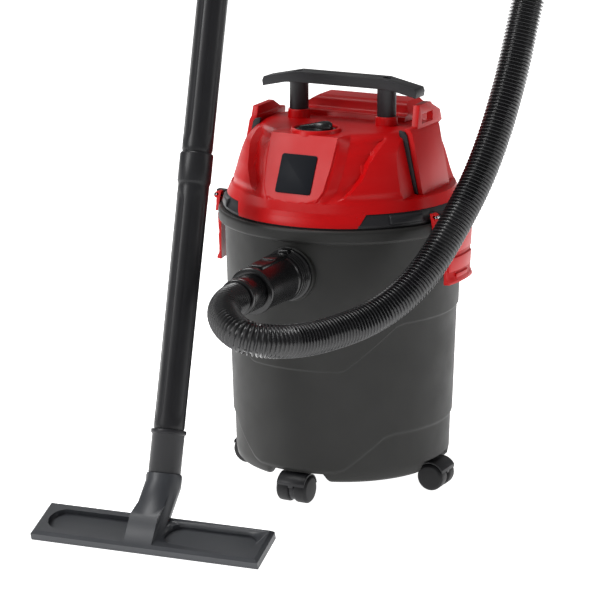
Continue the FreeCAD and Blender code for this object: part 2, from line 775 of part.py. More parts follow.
# ---------------------------------------------------------------- head: base, seal and cover
radius = d.tank_radius                                    # the head's radii are set from the tank's
skirt_low = plate_low + 0.3
crease = rim + 31                                         # where the skirt meets the dome
side_flat = radius - d.side_flat_inset                    # half-width of the cover between its side flats
outlet_z = crease + d.outlet_over_crease + d.outlet_lip + d.outlet_radius
deck_edge = rim + d.deck_height - 3
deck_under = deck_edge - d.cover_wall - 0.2
DOME = [                                                  # inset from the tank's radius, height over the crease
    (8.5, 0), (12, 2), (19, 31), (28.5, 56), (38, 66), (46, 72)]


def dome_line(inset):
    """The dome's outline from the crease to the deck, moved inwards by inset."""
    drop = inset * 0.6
    return [(radius - out - inset, crease + up - (drop if up > 30 else 0)) for out, up in DOME]


def side_limit(extra):
    """Outline, across Y, of what lies outside the cover's right side flat."""
    top = deck_edge + 60
    slope = d.side_flat_slope
    at_deck = side_flat + extra
    at_crease = at_deck + (deck_edge + 1 - crease) * slope
    out = radius + 40
    return [(at_crease, crease), (out, crease), (out, top), (at_deck, top),
            (at_deck, deck_edge + 1)]


def both_sides(name, points, start, end):
    """Two prisms along Y, one a mirror image of the other."""
    flipped = [(-x, z) for x, z in reversed(points)]
    return [prism(name + "_right", "Y", points, start, end),
            prism(name + "_left", "Y", flipped, start, end)]


pad_top = (-(radius - 39.9), rim + d.deck_height - 1)     # (y, z) of the pad's top edge
pad_slope = 0.4854
pad_foot_z = rim + 32


def pad_face(z, inset=0.0):
    """y of the front pad's face at height z, moved inwards by inset."""
    return pad_top[0] - (pad_top[1] - z) * pad_slope + inset


def build_head_base():
    inner = bowl_radius - 1.4
    ring_in = radius - 9.5
    ring_top = rim + 2 + d.base_ring_height
    spigot_low = plate_low - d.base_spigot_depth
    base = lathe("base_plate", [
        (d.motor_eye_radius, plate_low), (inner - 3.5, plate_low), (inner - 3.5, spigot_low),
        (inner, spigot_low), (inner, plate_low), (radius + 2, plate_low), (radius + 2, plate_low + 3),
        (radius + 1, plate_low + 4), (radius - 3.6, ring_top), (ring_in, ring_top),
        (ring_in, plate_top), (d.motor_eye_radius, plate_top)])
    ears = []
    ear_low = rim + d.latch_pivot_rise - 4.5
    pivot = radius + d.latch_pivot_out
    for side in (-1, 1):
        for i, y in enumerate((-47, 39)):
            low = (ring_in - 0.5, y, ear_low) if side > 0 else (-pivot - 3, y, ear_low)
            high = (pivot + 3, y + 8, ear_low + 9) if side > 0 else (-ring_in + 0.5, y + 8, ear_low + 9)
            ears.append(block(f"latch_ear_{side + 1}_{i}", low, high))
    holes = [rod(f"latch_ear_bore_{i}", d.latch_pin_radius, -60, 60, "Y",
                 (x, rim + d.latch_pivot_rise)) for i, x in enumerate((-pivot, pivot))]
    bib_space = shared("bib_space", bib_prism("bib_space", d.flat_gap),
                       lathe("bib_space_ring", [
                           (radius - 1.9, plate_low - 0.1), (radius + 12, plate_low - 0.1),
                           (radius + 12, ring_top + 1), (radius - 6.8, ring_top + 1)]))
    screws = [rod(f"base_screw_hole_{i}", d.screw_radius + 0.5, plate_low - 1, plate_top + 1, "Z",
                  screw_spot(i)) for i in range(4)]
    whole = joined("base_solid", base, *ears)
    node(cut("base_cut", whole, bib_space, *holes, *screws), "head_base")
    node(lathe("seal_ring", [(bowl_radius + 0.6, rim), (radius + 1.5, rim), (radius + 1.5, plate_low),
                             (bowl_radius + 0.6, plate_low)]), "head_seal")


def screw_spot(i):
    angle = math.radians(45 + 90 * i)
    circle = radius - d.screw_inset
    return (circle * math.cos(angle), circle * math.sin(angle))


def bib_prism(name, extra):
    """The part of the skirt that comes down to the rim at the front, seen along Y."""
    half = d.bib_half_width + extra
    return prism(name + "_prism", "Y", mirrored_x([
        (half, plate_low - 0.2), (half + 7, rim + 17.7), (half + 7, rim + 19 + extra)]),
        -(radius + 30), -60)


def build_head_cover():
    wall = d.cover_wall
    outer = lathe("cover_outer", [(0, rim + 18.2), (radius - 3.8, rim + 18.2)] + dome_line(0)
                  + [(radius - 50, deck_edge), (0, deck_edge + 3)])
    inner = lathe("cover_inner", [(0, rim + 17), (radius - 3.8 - wall, rim + 17)] + dome_line(wall)
                  + [(radius - 50 - wall, deck_under), (0, deck_under)])
    side_cuts = both_sides("cover_side", side_limit(0), -(radius + 20), radius + 20)
    inner_cuts = both_sides("cover_inner_side", side_limit(-wall), -(radius + 20), radius + 20)

    pad_outline = [(pad_face(pad_foot_z), pad_foot_z), (pad_top[0], pad_top[1]),
                   (-60, pad_top[1]), (-60, pad_foot_z)]
    pad_plan = mirrored_x([(d.pad_foot_half_width, pad_foot_z - 1), (d.pad_half_width - 4, rim + 47),
                           (d.pad_half_width, pad_top[1] + 1)])
    pad = shared("cover_pad", prism("cover_pad_side", "X", pad_outline, -60, 60),
                 prism("cover_pad_front", "Y", pad_plan, -(radius + 20), -50))
    ahead = [(pad_face(pad_foot_z - 40), pad_foot_z - 40), (pad_face(pad_top[1] + 20), pad_top[1] + 20),
             (-(radius + 60), pad_top[1] + 20), (-(radius + 60), pad_foot_z - 40)]
    before_pad = shared("cover_before_pad", prism("cover_ahead", "X", ahead, -60, 60),
                        prism("cover_ahead_front", "Y", pad_plan, -(radius + 70), -50))
    ahead_in = [(y + wall + 0.6, z) for y, z in ahead[:2]] + ahead[2:]
    before_pad_in = prism("cover_ahead_inner", "X", ahead_in, -60, 60)

    hump = [(15, deck_edge), (24, deck_edge + d.hump_height - 3), (33, deck_edge + d.hump_height + 2),
            (74, deck_edge + d.hump_height + 2), (84, deck_edge + d.hump_height - 6),
            (100, deck_edge + d.hump_height - 7), (116, deck_edge - 14), (30, deck_edge - 14)]
    inset = [(y + (3 if y < 60 else -3), z - 3) for y, z in hump]
    hump_out = prism("cover_hump", "X", hump, -d.hump_half_width, d.hump_half_width)
    hump_in = prism("cover_hump_inner", "X", inset, -d.hump_half_width + 3, d.hump_half_width - 3)

    knob_y = -d.knob_forward
    ring_top = rim + d.deck_height + d.knob_ring_rise
    ring = rod("cover_knob_ring", d.knob_ring_radius, deck_edge - 2, ring_top, "Z", (0, knob_y))
    ring_well = rod("cover_knob_well", d.knob_ring_radius - d.knob_ring_wall, deck_edge + 2,
                    ring_top + 5, "Z", (0, knob_y))
    shaft_hole = rod("cover_knob_hole", d.knob_shaft_radius + 0.2, deck_under - 1, deck_edge + 5,
                     "Z", (0, knob_y))
    posts, handle_bores = [], []
    for side in (-1, 1):
        spot = (side * d.handle_post_spread, d.handle_post_back)
        boss_top = rim + d.deck_height + d.handle_boss_rise
        posts.append(rod(f"cover_handle_boss_{side + 1}", d.handle_boss_radius, deck_under - 8,
                         boss_top, "Z", spot))
        handle_bores.append(rod(f"cover_handle_bore_{side + 1}", d.handle_screw_radius + 0.1,
                                deck_under - 4, boss_top + 1, "Z", spot))
    outlet_boss = rod("cover_outlet_boss", d.outlet_radius + d.outlet_lip, radius - 50, radius - 10, "Y",
                      (0, outlet_z))
    outlet_bore = rod("cover_outlet_bore", d.outlet_radius + d.flat_gap, radius - 60, radius, "Y",
                      (0, outlet_z))
    gland_boss = rod("cover_gland_boss", 11, radius - 32, radius - 16, "Y", gland_spot)
    gland_bore = rod("cover_gland_bore", 6.2, radius - 40, radius, "Y", gland_spot)
    screw_posts = [rod(f"cover_screw_post_{i}", d.post_radius, plate_top + 0.2, crease + 35, "Z",
                       screw_spot(i)) for i in range(4)]
    screw_bores = [rod(f"cover_screw_bore_{i}", d.screw_radius + 0.05, plate_top - 1,
                       plate_top + 20, "Z", screw_spot(i)) for i in range(4)]
    bib_ring = lathe("bib_ring", [
        (radius - 1.5, skirt_low), (radius + 1.1, skirt_low), (radius + 1, plate_low + 3.5),
        (radius - 3.8, rim + 18.2), (radius - 3.8, rim + 19), (radius - 6.4, rim + 19),
        (radius - 6.4, rim + 18)])
    bib = shared("bib", bib_ring, bib_prism("bib", 0.0))

    form = cut("cover_form", joined("cover_form_all", outer, pad), before_pad, *side_cuts)
    hollow = cut("cover_hollow", inner, before_pad_in, *inner_cuts)
    post_limit = lathe("cover_post_limit", [
        (0, plate_top), (radius - 8, plate_top), (radius - 8, rim + 18)] + dome_line(1.0)
        + [(radius - 51, deck_under), (0, deck_under)])
    inside_posts = [shared(f"cover_post_{i}", post, post_limit) for i, post in enumerate(screw_posts)]
    shell = cut("cover_shell", joined("cover_outside", form, hump_out), hollow, hump_in)
    whole = joined("cover_whole", shell, bib, ring, outlet_boss, gland_boss, *posts, *inside_posts)
    node(cut("cover_cut", whole, ring_well, shaft_hole, outlet_bore, gland_bore, *handle_bores,
             *screw_bores), "head_cover")


gland_spot = (-50, rim + 41)                              # (x, z) of the mains lead's gland


# ---------------------------------------------------------------- what the cover carries
def build_cover_fittings():
    slope = d.side_flat_slope
    foot = crease + 0.2
    wing_top = deck_edge + 1
    thick = d.wing_thickness
    gap = d.wing_gap
    at_deck = side_flat + gap

    def inner_x(z, off):
        return side_flat + off + (deck_edge + 1 - z) * slope

    outer_top = at_deck + thick
    outer_foot = outer_top + (wing_top - foot) * 0.2
    wing = [(inner_x(foot, 0.1), foot), (outer_foot, foot), (outer_top, wing_top),
            (outer_top - 4, wing_top + 6), (at_deck, wing_top + 6), (at_deck, wing_top),
            (inner_x(foot + 6, gap), foot + 6), (inner_x(foot + 6, 0.1), foot + 6)]
    half = d.wing_half_length
    ear_shapes = {
        "right": [(-22, wing_top), (-16, wing_top + 32), (12, wing_top + 33), (46, wing_top + 18),
                  (52, wing_top + 4), (38, wing_top)],
        "left": [(-40, wing_top), (-34, wing_top + 17), (8, wing_top + 18), (30, wing_top + 6),
                 (38, wing_top)],
    }
    for side, way in (("right", 1), ("left", -1)):
        points = wing if way > 0 else [(-x, z) for x, z in reversed(wing)]
        panel = prism(f"wing_{side}_panel", "Y", points, -half, half)
        low, high = at_deck + 0.5, outer_top - 2
        start, end = (low, high) if way > 0 else (-high, -low)
        ear = prism(f"wing_{side}_ear", "X", ear_shapes[side], start, end)
        slot = block(f"wing_{side}_slot", (start - 1, -8, wing_top + 8), (end + 1, 24, wing_top + 20))
        pieces = cut(f"wing_{side}_loop", ear, slot) if side == "right" else ear
        node(joined(f"wing_{side}", panel, pieces), f"side_wing_{side}")

    plate_half = 24
    plate_rise = 49.5
    tilt = math.degrees(math.atan(pad_slope))
    plate = doc.addObject("Part::Box", "badge_box")
    plate.Length = 2 * plate_half
    plate.Width = 1.2
    plate.Height = plate_rise
    low_z = rim + 40.5
    turn = Rotation(Vector(1, 0, 0), -tilt)
    face = Vector(-plate_half, float(pad_face(low_z)), float(low_z))
    plate.Placement = Placement(face + turn.multVec(Vector(0, -1.2, 0)), turn)
    node(plate, "badge_plate")

    knob_y = -d.knob_forward
    floor = deck_edge + 2 + d.flat_gap
    disc = lathe("knob_disc", [
        (0, floor), (d.knob_ring_radius - d.knob_ring_wall - 0.5, floor),
        (d.knob_ring_radius - d.knob_ring_wall - 0.5, floor + 3), (16, floor + 4.5),
        (0, floor + 4.5)], "Z", (0, knob_y, 0))
    grip = block("knob_grip", (-25, knob_y - 6, floor + 2), (15, knob_y + 6, floor + 13.5))
    shaft = rod("knob_shaft", d.knob_shaft_radius, deck_under - 9, floor + 1, "Z", (0, knob_y))
    node(joined("knob", disc, grip, shaft), "switch_knob")
    side = d.switch_block_side / 2
    box = block("switch_box", (-side, knob_y - side, deck_under - d.switch_block_height),
                (side, knob_y + side, deck_under))
    socket = rod("switch_socket", d.knob_shaft_radius + d.running_gap, deck_under - 10,
                 deck_under + 1, "Z", (0, knob_y))
    node(cut("switch_cut", box, socket), "switch_block")

    base = rim + d.deck_height + d.handle_boss_rise
    bar = base + d.handle_rise
    back = d.handle_post_back
    spread = d.handle_post_spread
    depth = d.handle_depth / 2
    span = d.handle_half_span
    bar_points = mirrored_x([(spread, bar), (spread + 14, bar - 1), (span, bar - 8),
                             (span + 1, bar - 1), (span - 1, bar + 4), (spread, bar + 13.5)])
    grip_bar = prism("handle_bar", "Y", bar_points, back - depth, back + depth)
    screws, feet, recesses, bores = [], [], [], []
    for side in (-1, 1):
        spot = (side * spread, back)
        feet.append(rod(f"handle_foot_{side + 1}", d.handle_post_radius, base, bar + 4, "Z", spot))
        recesses.append(rod(f"handle_recess_{side + 1}", 5.2, bar + 5, bar + 20, "Z", spot))
        bores.append(rod(f"handle_bore_{side + 1}", d.handle_screw_radius + 0.1, base - 1, bar + 6,
                         "Z", spot))
        screws.append(lathe(f"handle_screw_{side + 1}", [
            (0, deck_under), (d.handle_screw_radius, deck_under),
            (d.handle_screw_radius, bar + 5), (4.6, bar + 5), (4.6, bar + 8), (0, bar + 8)],
            "Z", (spot[0], spot[1], 0)))
    node(cut("handle_cut", joined("handle_solid", grip_bar, *feet), *recesses, *bores),
         "carry_handle")
    pair = doc.addObject("Part::Compound", "handle_screw_pair")
    pair.Links = screws
    node(pair, "carry_handle_screws")

    fixings = []
    for i in range(4):
        x, y = screw_spot(i)
        fixings.append(lathe(f"cover_screw_{i}", [
            (0, plate_low - 3), (4, plate_low - 3), (4, plate_low), (d.screw_radius, plate_low),
            (d.screw_radius, plate_top + 18), (0, plate_top + 18)], "Z", (x, y, 0)))
    group = doc.addObject("Part::Compound", "cover_screw_group")
    group.Links = fixings
    node(group, "cover_screws")

    lip = radius - 10
    tube = d.outlet_radius
    end = radius - 19 + d.outlet_proud
    node(lathe("outlet_tube", [
        (tube - d.outlet_wall, d.motor_radius + 1), (tube, d.motor_radius + 1), (tube, lip),
        (tube + d.outlet_lip, lip), (tube + d.outlet_lip, lip + 3), (tube, lip + 3), (tube, end),
        (tube - d.outlet_wall, end)], "Y", (0, 0, outlet_z)), "blow_port")
    gland_face = radius - 16
    node(lathe("gland_body", [
        (3.6, gland_face - 22), (6, gland_face - 22), (6, gland_face), (10, gland_face),
        (10, gland_face + 3.5), (6, gland_face + 4.5), (4.8, gland_face + 24),
        (3.6, gland_face + 24)], "Y", (gland_spot[0], 0, gland_spot[1])), "cable_gland")


# ---------------------------------------------------------------- motor, filter and float
def build_motor():
    gasket_top = plate_top + d.seal_thickness
    out = d.motor_radius
    bore = out - d.motor_wall
    top = gasket_top + d.motor_height
    shelf = gasket_top + d.motor_shelf
    seat = d.bearing_radius
    node(lathe("motor_gasket_ring", [
        (bore - 6, plate_top), (out + 1, plate_top), (out + 1, gasket_top),
        (bore - 6, gasket_top)]), "motor_gasket")
    node(cut("motor_housing_cut", lathe("motor_can", [
        (bore, gasket_top), (out, gasket_top), (out, top), (seat, top), (seat, top - 3),
        (bore, top - 3), (bore, shelf + 3), (seat, shelf + 3), (seat, shelf), (bore, shelf)]),
        rod("motor_outlet", d.outlet_radius - d.outlet_wall, 40, out + 5, "Y",
            (0, outlet_z))), "motor_housing")
    stator_low = shelf + 3
    stator_top = stator_low + d.stator_height
    rotor = d.rotor_radius
    node(lathe("stator_ring", [
        (rotor + d.air_gap, stator_low), (d.stator_radius, stator_low),
        (d.stator_radius, stator_top), (rotor + d.air_gap, stator_top)]), "motor_stator")
    shaft = d.shaft_radius
    node(lathe("rotor_core", [
        (0, gasket_top + 4), (shaft, gasket_top + 4), (shaft, stator_low + 4), (rotor, stator_low + 4),
        (rotor, stator_top), (shaft, stator_top), (shaft, top - 2), (0, top - 2)]), "motor_rotor")
    fan = gasket_top + 5
    hub = lathe("impeller_hub", [
        (shaft, fan), (12, fan), (12, fan + d.impeller_height - 2),
        (d.impeller_radius, fan + d.impeller_height - 2),
        (d.impeller_radius, fan + d.impeller_height), (shaft, fan + d.impeller_height)])
    vanes = [block(f"impeller_vane_{i}", (11, -1, fan), (d.impeller_radius - 1, 1,
                                                        fan + d.impeller_height - 1))
             for i in range(9)]
    for i, vane in enumerate(vanes):
        turn = Rotation(Vector(0, 0, 1), 40 * i)
        vane.Placement = Placement(turn.multVec(vane.Placement.Base), turn)
        for letter in "xyz":
            vane.setExpression(f"Placement.Base.{letter}", None)
    node(joined("impeller_wheel", hub, *vanes), "impeller")
    width = d.bearing_width
    rings = [lathe(f"bearing_{i}", [
        (shaft + d.running_gap, low), (seat, low), (seat, low + width),
        (shaft + d.running_gap, low + width)])
        for i, low in enumerate((shelf - 1, top - width))]
    pair = doc.addObject("Part::Compound", "bearing_pair")
    pair.Links = rings
    node(pair, "motor_bearings")


def build_filter():
    top = plate_low
    low = top - d.cage_length
    out = d.cage_radius
    inner = out - d.cage_wall
    flange = top - d.cage_flange_thickness
    basket = lathe("cage_basket", [
        (0, low), (out, low), (out, flange), (d.cage_flange_radius, flange),
        (d.cage_flange_radius, top), (d.motor_eye_radius, top), (d.motor_eye_radius, flange + 2),
        (inner, flange + 2), (inner, low + d.cage_wall), (0, low + d.cage_wall)])
    windows = []
    for i, z in enumerate((low + 14, low + 56, low + 98)):
        for j in range(4):
            window = doc.addObject("Part::Box", f"cage_window_{i}_{j}")
            bind(window, "Length", out * 2 + 20)
            bind(window, "Width", 16.0)
            bind(window, "Height", 30.0)
            turn = Rotation(Vector(0, 0, 1), 22.5 + 45 * j)
            corner = Vector(-float(out) - 10, -8, float(z))
            window.Placement = Placement(turn.multVec(corner), turn)
            window.setExpression("Placement.Base.z", z.text)
            windows.append(window)
    ribs = []
    for j in range(4):
        rib = block(f"cage_rib_{j}", (d.float_radius + 1, -1.5, low + 1), (inner + 1, 1.5, flange))
        turn = Rotation(Vector(0, 0, 1), 90 * j)
        spot = turn.multVec(Vector(float(d.float_radius) + 1, -1.5, float(low) + 1))
        for letter in "xyz":
            rib.setExpression(f"Placement.Base.{letter}", None)
        rib.Placement = Placement(spot, turn)
        ribs.append(rib)
    node(joined("cage_with_ribs", cut("cage_cut", basket, *windows), *ribs), "filter_cage")
    sleeve = out + d.flat_gap
    node(lathe("foam_sleeve", [
        (sleeve, low + 4), (sleeve + d.foam_thickness, low + 4),
        (sleeve + d.foam_thickness, flange - 0.3), (sleeve, flange - 0.3)]), "foam_filter")
    rest = low + d.cage_wall + d.flat_gap
    end = rest + d.float_length
    node(lathe("float_cup", [
        (0, rest), (d.float_radius - 4, rest), (d.float_radius, rest + 4), (d.float_radius, end - 4),
        (d.float_radius - 4, end), (d.float_radius - 10, end), (d.float_radius - 10, rest + 6),
        (0, rest + 6)]), "filter_float")


# ---------------------------------------------------------------- latches
def build_latches():
    inside = rim_radius + 1.8
    outside = inside + d.latch_thickness
    low = rim - d.latch_drop
    bar_low = rim - 12
    bar_top = rim + 2
    top = rim + 13
    tongue = d.latch_half_width
    bar = d.latch_bar_half_width
    prong = bar - 9.5
    face = mirrored_x([(tongue, low), (tongue, bar_low), (bar, bar_low), (bar, top), (prong, top),
                       (prong, bar_top)])
    pivot_x = radius + d.latch_pivot_out
    pivot_z = rim + d.latch_pivot_rise
    for side, way in (("right", 1), ("left", -1)):
        tag = "latch_" + side
        sheet = lathe(tag + "_band", [(inside, low - 1), (outside, low - 1), (outside, top + 1),
                                      (inside, top + 1)])
        start, end = (100, outside + 10) if way > 0 else (-(outside + 10), -100)
        clip = shared(tag + "_clip", sheet, prism(tag + "_face", "X", face, start, end))
        nose = shared(tag + "_nose", lathe(tag + "_nose_band", [
            (rim_radius + d.flat_gap, rim - 22), (inside + 1, rim - 33), (inside + 1, rim - 18),
            (rim_radius + d.flat_gap, rim - 18)]),
            block(tag + "_nose_space", (start, -30, rim - 40), (end, 30, rim)))
        lip = shared(tag + "_lip", lathe(tag + "_lip_band", [
            (inside + 1, low), (outside + 3, low), (outside + 3, low + 3), (outside, low + 9),
            (inside + 1, low + 9)]),
            block(tag + "_lip_space", (start, -tongue + 1, low - 5), (end, tongue - 1, low + 30)))
        knuckles, pins = [], []
        for i, y in enumerate((-(bar - 1), prong + 0.5)):
            knuckles.append(rod(f"{tag}_knuckle_{i}", 4.5, y, y + 8, "Y", (way * pivot_x, pivot_z)))
        for i, y in enumerate((-(bar - 1), 38)):
            pins.append(rod(f"{tag}_pin_{i}", d.latch_pin_radius, y, y + 18, "Y",
                            (way * pivot_x, pivot_z)))
        bores = rod(tag + "_bore", d.latch_pin_radius + d.running_gap, -70, 70, "Y",
                    (way * pivot_x, pivot_z))
        node(cut(tag + "_cut", joined(tag + "_solid", clip, nose, lip, *knuckles), bores), tag)
        pair = doc.addObject("Part::Compound", tag + "_pin_pair")
        pair.Links = pins
        node(pair, "latch_pins_" + side)


# ---------------------------------------------------------------- build, check and write
def main():
    build_tank()
    build_casters()
    build_inlet()
    grip_end = build_wand()
    build_hose(grip_end)
    build_nozzle()
    build_head_base()
    build_head_cover()
    build_cover_fittings()
    build_motor()
    build_filter()
    build_latches()
    doc.recompute()
    bad = [obj.Name for obj in doc.Objects if {"Invalid", "Error"} & set(obj.State)]
    if bad:
        raise RuntimeError("failed objects: " + ", ".join(bad))
    for obj in NODES:
        if obj.Shape.isNull() or not obj.Shape.isValid() or not obj.Shape.Solids:
            raise RuntimeError("no valid solid in " + obj.Label)
    os.makedirs("parts", exist_ok=True)
    for obj in NODES:
        obj.Shape.exportStep(f"parts/{obj.Label}.step")
        print("%-22s solids %d volume %.0f" % (obj.Label, len(obj.Shape.Solids), obj.Shape.Volume))
    print(len(NODES), "nodes")


main()
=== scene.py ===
"""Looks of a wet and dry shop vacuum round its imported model: drum, latched head, hose, wand, nozzle."""

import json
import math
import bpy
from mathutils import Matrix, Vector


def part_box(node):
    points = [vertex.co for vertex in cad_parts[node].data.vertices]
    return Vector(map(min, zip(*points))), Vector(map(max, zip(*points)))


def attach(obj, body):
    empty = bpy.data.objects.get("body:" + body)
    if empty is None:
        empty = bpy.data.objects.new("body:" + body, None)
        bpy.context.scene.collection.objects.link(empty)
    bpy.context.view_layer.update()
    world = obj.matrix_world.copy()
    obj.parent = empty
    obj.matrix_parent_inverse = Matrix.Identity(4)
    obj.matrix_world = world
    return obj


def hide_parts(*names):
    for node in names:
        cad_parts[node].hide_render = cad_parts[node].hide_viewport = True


bl_info = {
    "name": "Shop Vacuum",
    "version": (1, 0, 0),
    "blender": (4, 5, 0),
    "location": "View3D > Sidebar > Shop Vacuum",
    "description": "Adds the visible pieces and finishes of a drum vacuum round its packed frame",
    "category": "Add Mesh",
}

import bmesh
import bpy
from mathutils import Matrix, Vector

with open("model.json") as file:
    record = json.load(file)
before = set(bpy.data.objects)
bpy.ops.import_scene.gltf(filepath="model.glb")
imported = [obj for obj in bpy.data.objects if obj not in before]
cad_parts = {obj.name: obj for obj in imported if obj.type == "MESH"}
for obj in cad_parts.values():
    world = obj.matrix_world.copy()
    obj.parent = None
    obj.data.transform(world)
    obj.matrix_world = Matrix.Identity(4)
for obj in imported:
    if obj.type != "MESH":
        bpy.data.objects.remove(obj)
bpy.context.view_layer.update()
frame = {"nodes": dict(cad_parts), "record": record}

MM = 0.001
TAU = 2 * math.pi
UP = Vector((0, 0, 1))
RIM_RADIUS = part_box("tank")[1].x
INLET_HEIGHT = (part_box("inlet_socket")[0].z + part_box("inlet_socket")[1].z) / 2


# ---------------------------------------------------------------- sizes and colours
def linear(hex_code):
    """An sRGB hex colour as linear red, green and blue."""
    parts = [int(hex_code[i:i + 2], 16) / 255 for i in (1, 3, 5)]
    return [c / 12.92 if c <= 0.04045 else ((c + 0.055) / 1.055) ** 2.4 for c in parts]


def length(name, description, default):
    return bpy.props.FloatProperty(name=name, description=description, default=default,
                                   unit="LENGTH", precision=4)


def colour(name, description, hex_code):
    return bpy.props.FloatVectorProperty(name=name, description=description, subtype="COLOR",
                                         size=3, min=0, max=1, default=linear(hex_code))


class ShopVacDrum(bpy.types.PropertyGroup):
    """Sizes of the tank."""

    top_radius: length("Top radius", "Outside of the tank's wall under the rim", RIM_RADIUS - 8.5 * MM)
    low_radius: length("Low radius", "Outside of the tank's wall above its foot", RIM_RADIUS - 17.5 * MM)
    wall: length("Wall", "Thickness of the tank's wall", 3.1 * MM)
    step: length("Step", "Depth of each moulded step in the wall", 2.1 * MM)
    foot: length("Foot", "Height of the tank's lowest edge", 28 * MM)


class ShopVacHose(bpy.types.PropertyGroup):
    """Sizes of the hose."""

    radius: length("Radius", "Over the hose's ridges", 20 * MM)
    ridge: length("Ridge height", "From the hose's ridges down to its valleys", 3.3 * MM)
    pitch: length("Ridge pitch", "Spacing of the ridges along the hose", 4.7 * MM)


class ShopVacWand(bpy.types.PropertyGroup):
    """Sizes of the wand."""

    tube_radius: length("Tube radius", "Outside of a wand tube below its socket", 19.2 * MM)
    socket_radius: length("Socket radius", "Outside of a wand tube's socket", 20.5 * MM)
    flute: length("Flute depth", "Depth of the long recesses in each tube", 0.9 * MM)
    pitch: length("Tube pitch", "Length that each tube adds to the wand", 340 * MM)


class ShopVacColours(bpy.types.PropertyGroup):
    """Colours of the finishes."""

    red: colour("Red shell", "Moulded ABS of the head and latches", "#b60307")
    tank: colour("Tank", "Moulded polypropylene of the tank", "#252524")
    black: colour("Black", "Moulded black plastics", "#141416")
    gloss: colour("Gloss black", "Polished black of the inlet", "#0c0c0e")
    hose: colour("Hose", "Flexible plastic of the hose", "#161618")
    nozzle: colour("Nozzle", "Moulded grey of the floor nozzle", "#303236")
    label: colour("Label", "Printed film of the label", "#0a0d14")
    floor: colour("Floor", "Studio floor", "#f4f4f4")


def drum():
    return bpy.context.scene.shopvac_drum


def hose_sizes():
    return bpy.context.scene.shopvac_hose


def wand_sizes():
    return bpy.context.scene.shopvac_wand


def colours():
    return bpy.context.scene.shopvac_colours


# ---------------------------------------------------------------- materials
def add(tree, kind, settings=(), links=()):
    """A node of that kind, with its settings {socket or property: value} and links {socket: output}."""
    new = tree.nodes.new(kind)
    for name, value in dict(settings).items():
        if name in new.inputs:
            new.inputs[name].default_value = value
        else:
            setattr(new, name, value)
    for name, output in dict(links).items():
        tree.links.new(output, new.inputs[name])
    return new


def finish_base(name):
    """A new material's tree, shader and Object coordinates."""
    material = bpy.data.materials.new(name)
    material.use_nodes = True
    tree = material.node_tree
    shader = tree.nodes["Principled BSDF"]
    place = add(tree, "ShaderNodeTexCoord").outputs["Object"]
    return material, tree, shader, place


def moulded(name, rgb, roughness, grain_mm, grain_depth, mottling=0.06, shine=0.3, gloss_change=0.08):
    """Injection-moulded plastic: faint uneven colour, a fine tool texture and patchy gloss."""
    material, tree, shader, place = finish_base(name)
    shader.inputs["Specular IOR Level"].default_value = shine
    rgb = list(rgb)
    cloud = add(tree, "ShaderNodeTexNoise", {"Scale": 14.0, "Detail": 4.0, "Roughness": 0.6},
                {"Vector": place})
    low = [c * (1 - mottling) for c in rgb] + [1]
    high = [min(1, c * (1 + mottling)) for c in rgb] + [1]
    blend = add(tree, "ShaderNodeMix", {"data_type": "RGBA"}, {"Factor": cloud.outputs["Fac"]})
    blend.inputs[6].default_value = low
    blend.inputs[7].default_value = high
    tree.links.new(blend.outputs[2], shader.inputs["Base Color"])
    smudge = add(tree, "ShaderNodeTexNoise", {"Scale": 30.0, "Detail": 3.0}, {"Vector": place})
    rough = add(tree, "ShaderNodeMapRange",
                {"From Min": 0.3, "From Max": 0.7, "To Min": roughness - gloss_change / 2,
                 "To Max": roughness + gloss_change / 2}, {"Value": smudge.outputs["Fac"]})
    tree.links.new(rough.outputs["Result"], shader.inputs["Roughness"])
    grain = add(tree, "ShaderNodeTexNoise", {"Scale": 1000 / grain_mm, "Detail": 2.0},
                {"Vector": place})
    bump = add(tree, "ShaderNodeBump", {"Strength": grain_depth, "Distance": 0.1 * MM},
               {"Height": grain.outputs["Fac"]})
    tree.links.new(bump.outputs["Normal"], shader.inputs["Normal"])
    return material


def red_abs():
    """Red ABS from a semi-polished mould: saturated, with broad soft highlights."""
    return moulded("red_abs", colours().red, 0.36, 1.1, 0.12, mottling=0.03, shine=0.22)


def tank_polypropylene():
    """Dark grey polypropylene with a spark-eroded grain: satin, slightly dusty, lighter flow marks."""
    return moulded("tank_polypropylene", colours().tank, 0.5, 0.9, 0.35, mottling=0.1, shine=0.25,
                   gloss_change=0.1)


def satin_black():
    """Black ABS from a lightly textured mould, as on handles and knobs."""
    return moulded("satin_black_abs", [c * 2.1 for c in colours().black], 0.4, 0.8, 0.25)


def gloss_black():
    """Black ABS from a polished mould: mirror-like highlights with faint smears."""
    return moulded("polished_black_abs", colours().gloss, 0.24, 6.0, 0.05, shine=0.5, gloss_change=0.06)


def tube_black():
    """Extruded and sized black tube: satin with a slightly darker core colour."""
    return moulded("extruded_black_tube", [c * 1.5 for c in colours().black], 0.36, 0.7, 0.2)


def nozzle_grey():
    """Grey-black polypropylene of the floor nozzle: fine grain and a dull sheen."""
    return moulded("grained_grey_nozzle", colours().nozzle, 0.4, 0.8, 0.3, mottling=0.08, shine=0.45)


def hose_plastic():
    """Blown flexible plastic of the hose: smooth, with bright lines on each ridge."""
    return moulded("blown_hose_plastic", colours().hose, 0.27, 2.5, 0.1, mottling=0.12, shine=0.6)


def wheel_plastic():
    """Hard black wheel plastic, scuffed dull on the tread."""
    return moulded("scuffed_wheel_plastic", colours().black, 0.5, 1.2, 0.4, mottling=0.2)


def label_film():
    """Blank printed film, blue-black under a thin clear gloss."""
    return moulded("blank_label_film", colours().label, 0.5, 3.0, 0.05, mottling=0.04, shine=0.12)


def seal_rubber():
    """Soft black rubber: almost no highlight, a dusty bloom."""
    return moulded("soft_seal_rubber", [c * 0.8 for c in colours().black], 0.75, 0.6, 0.5, mottling=0.25)


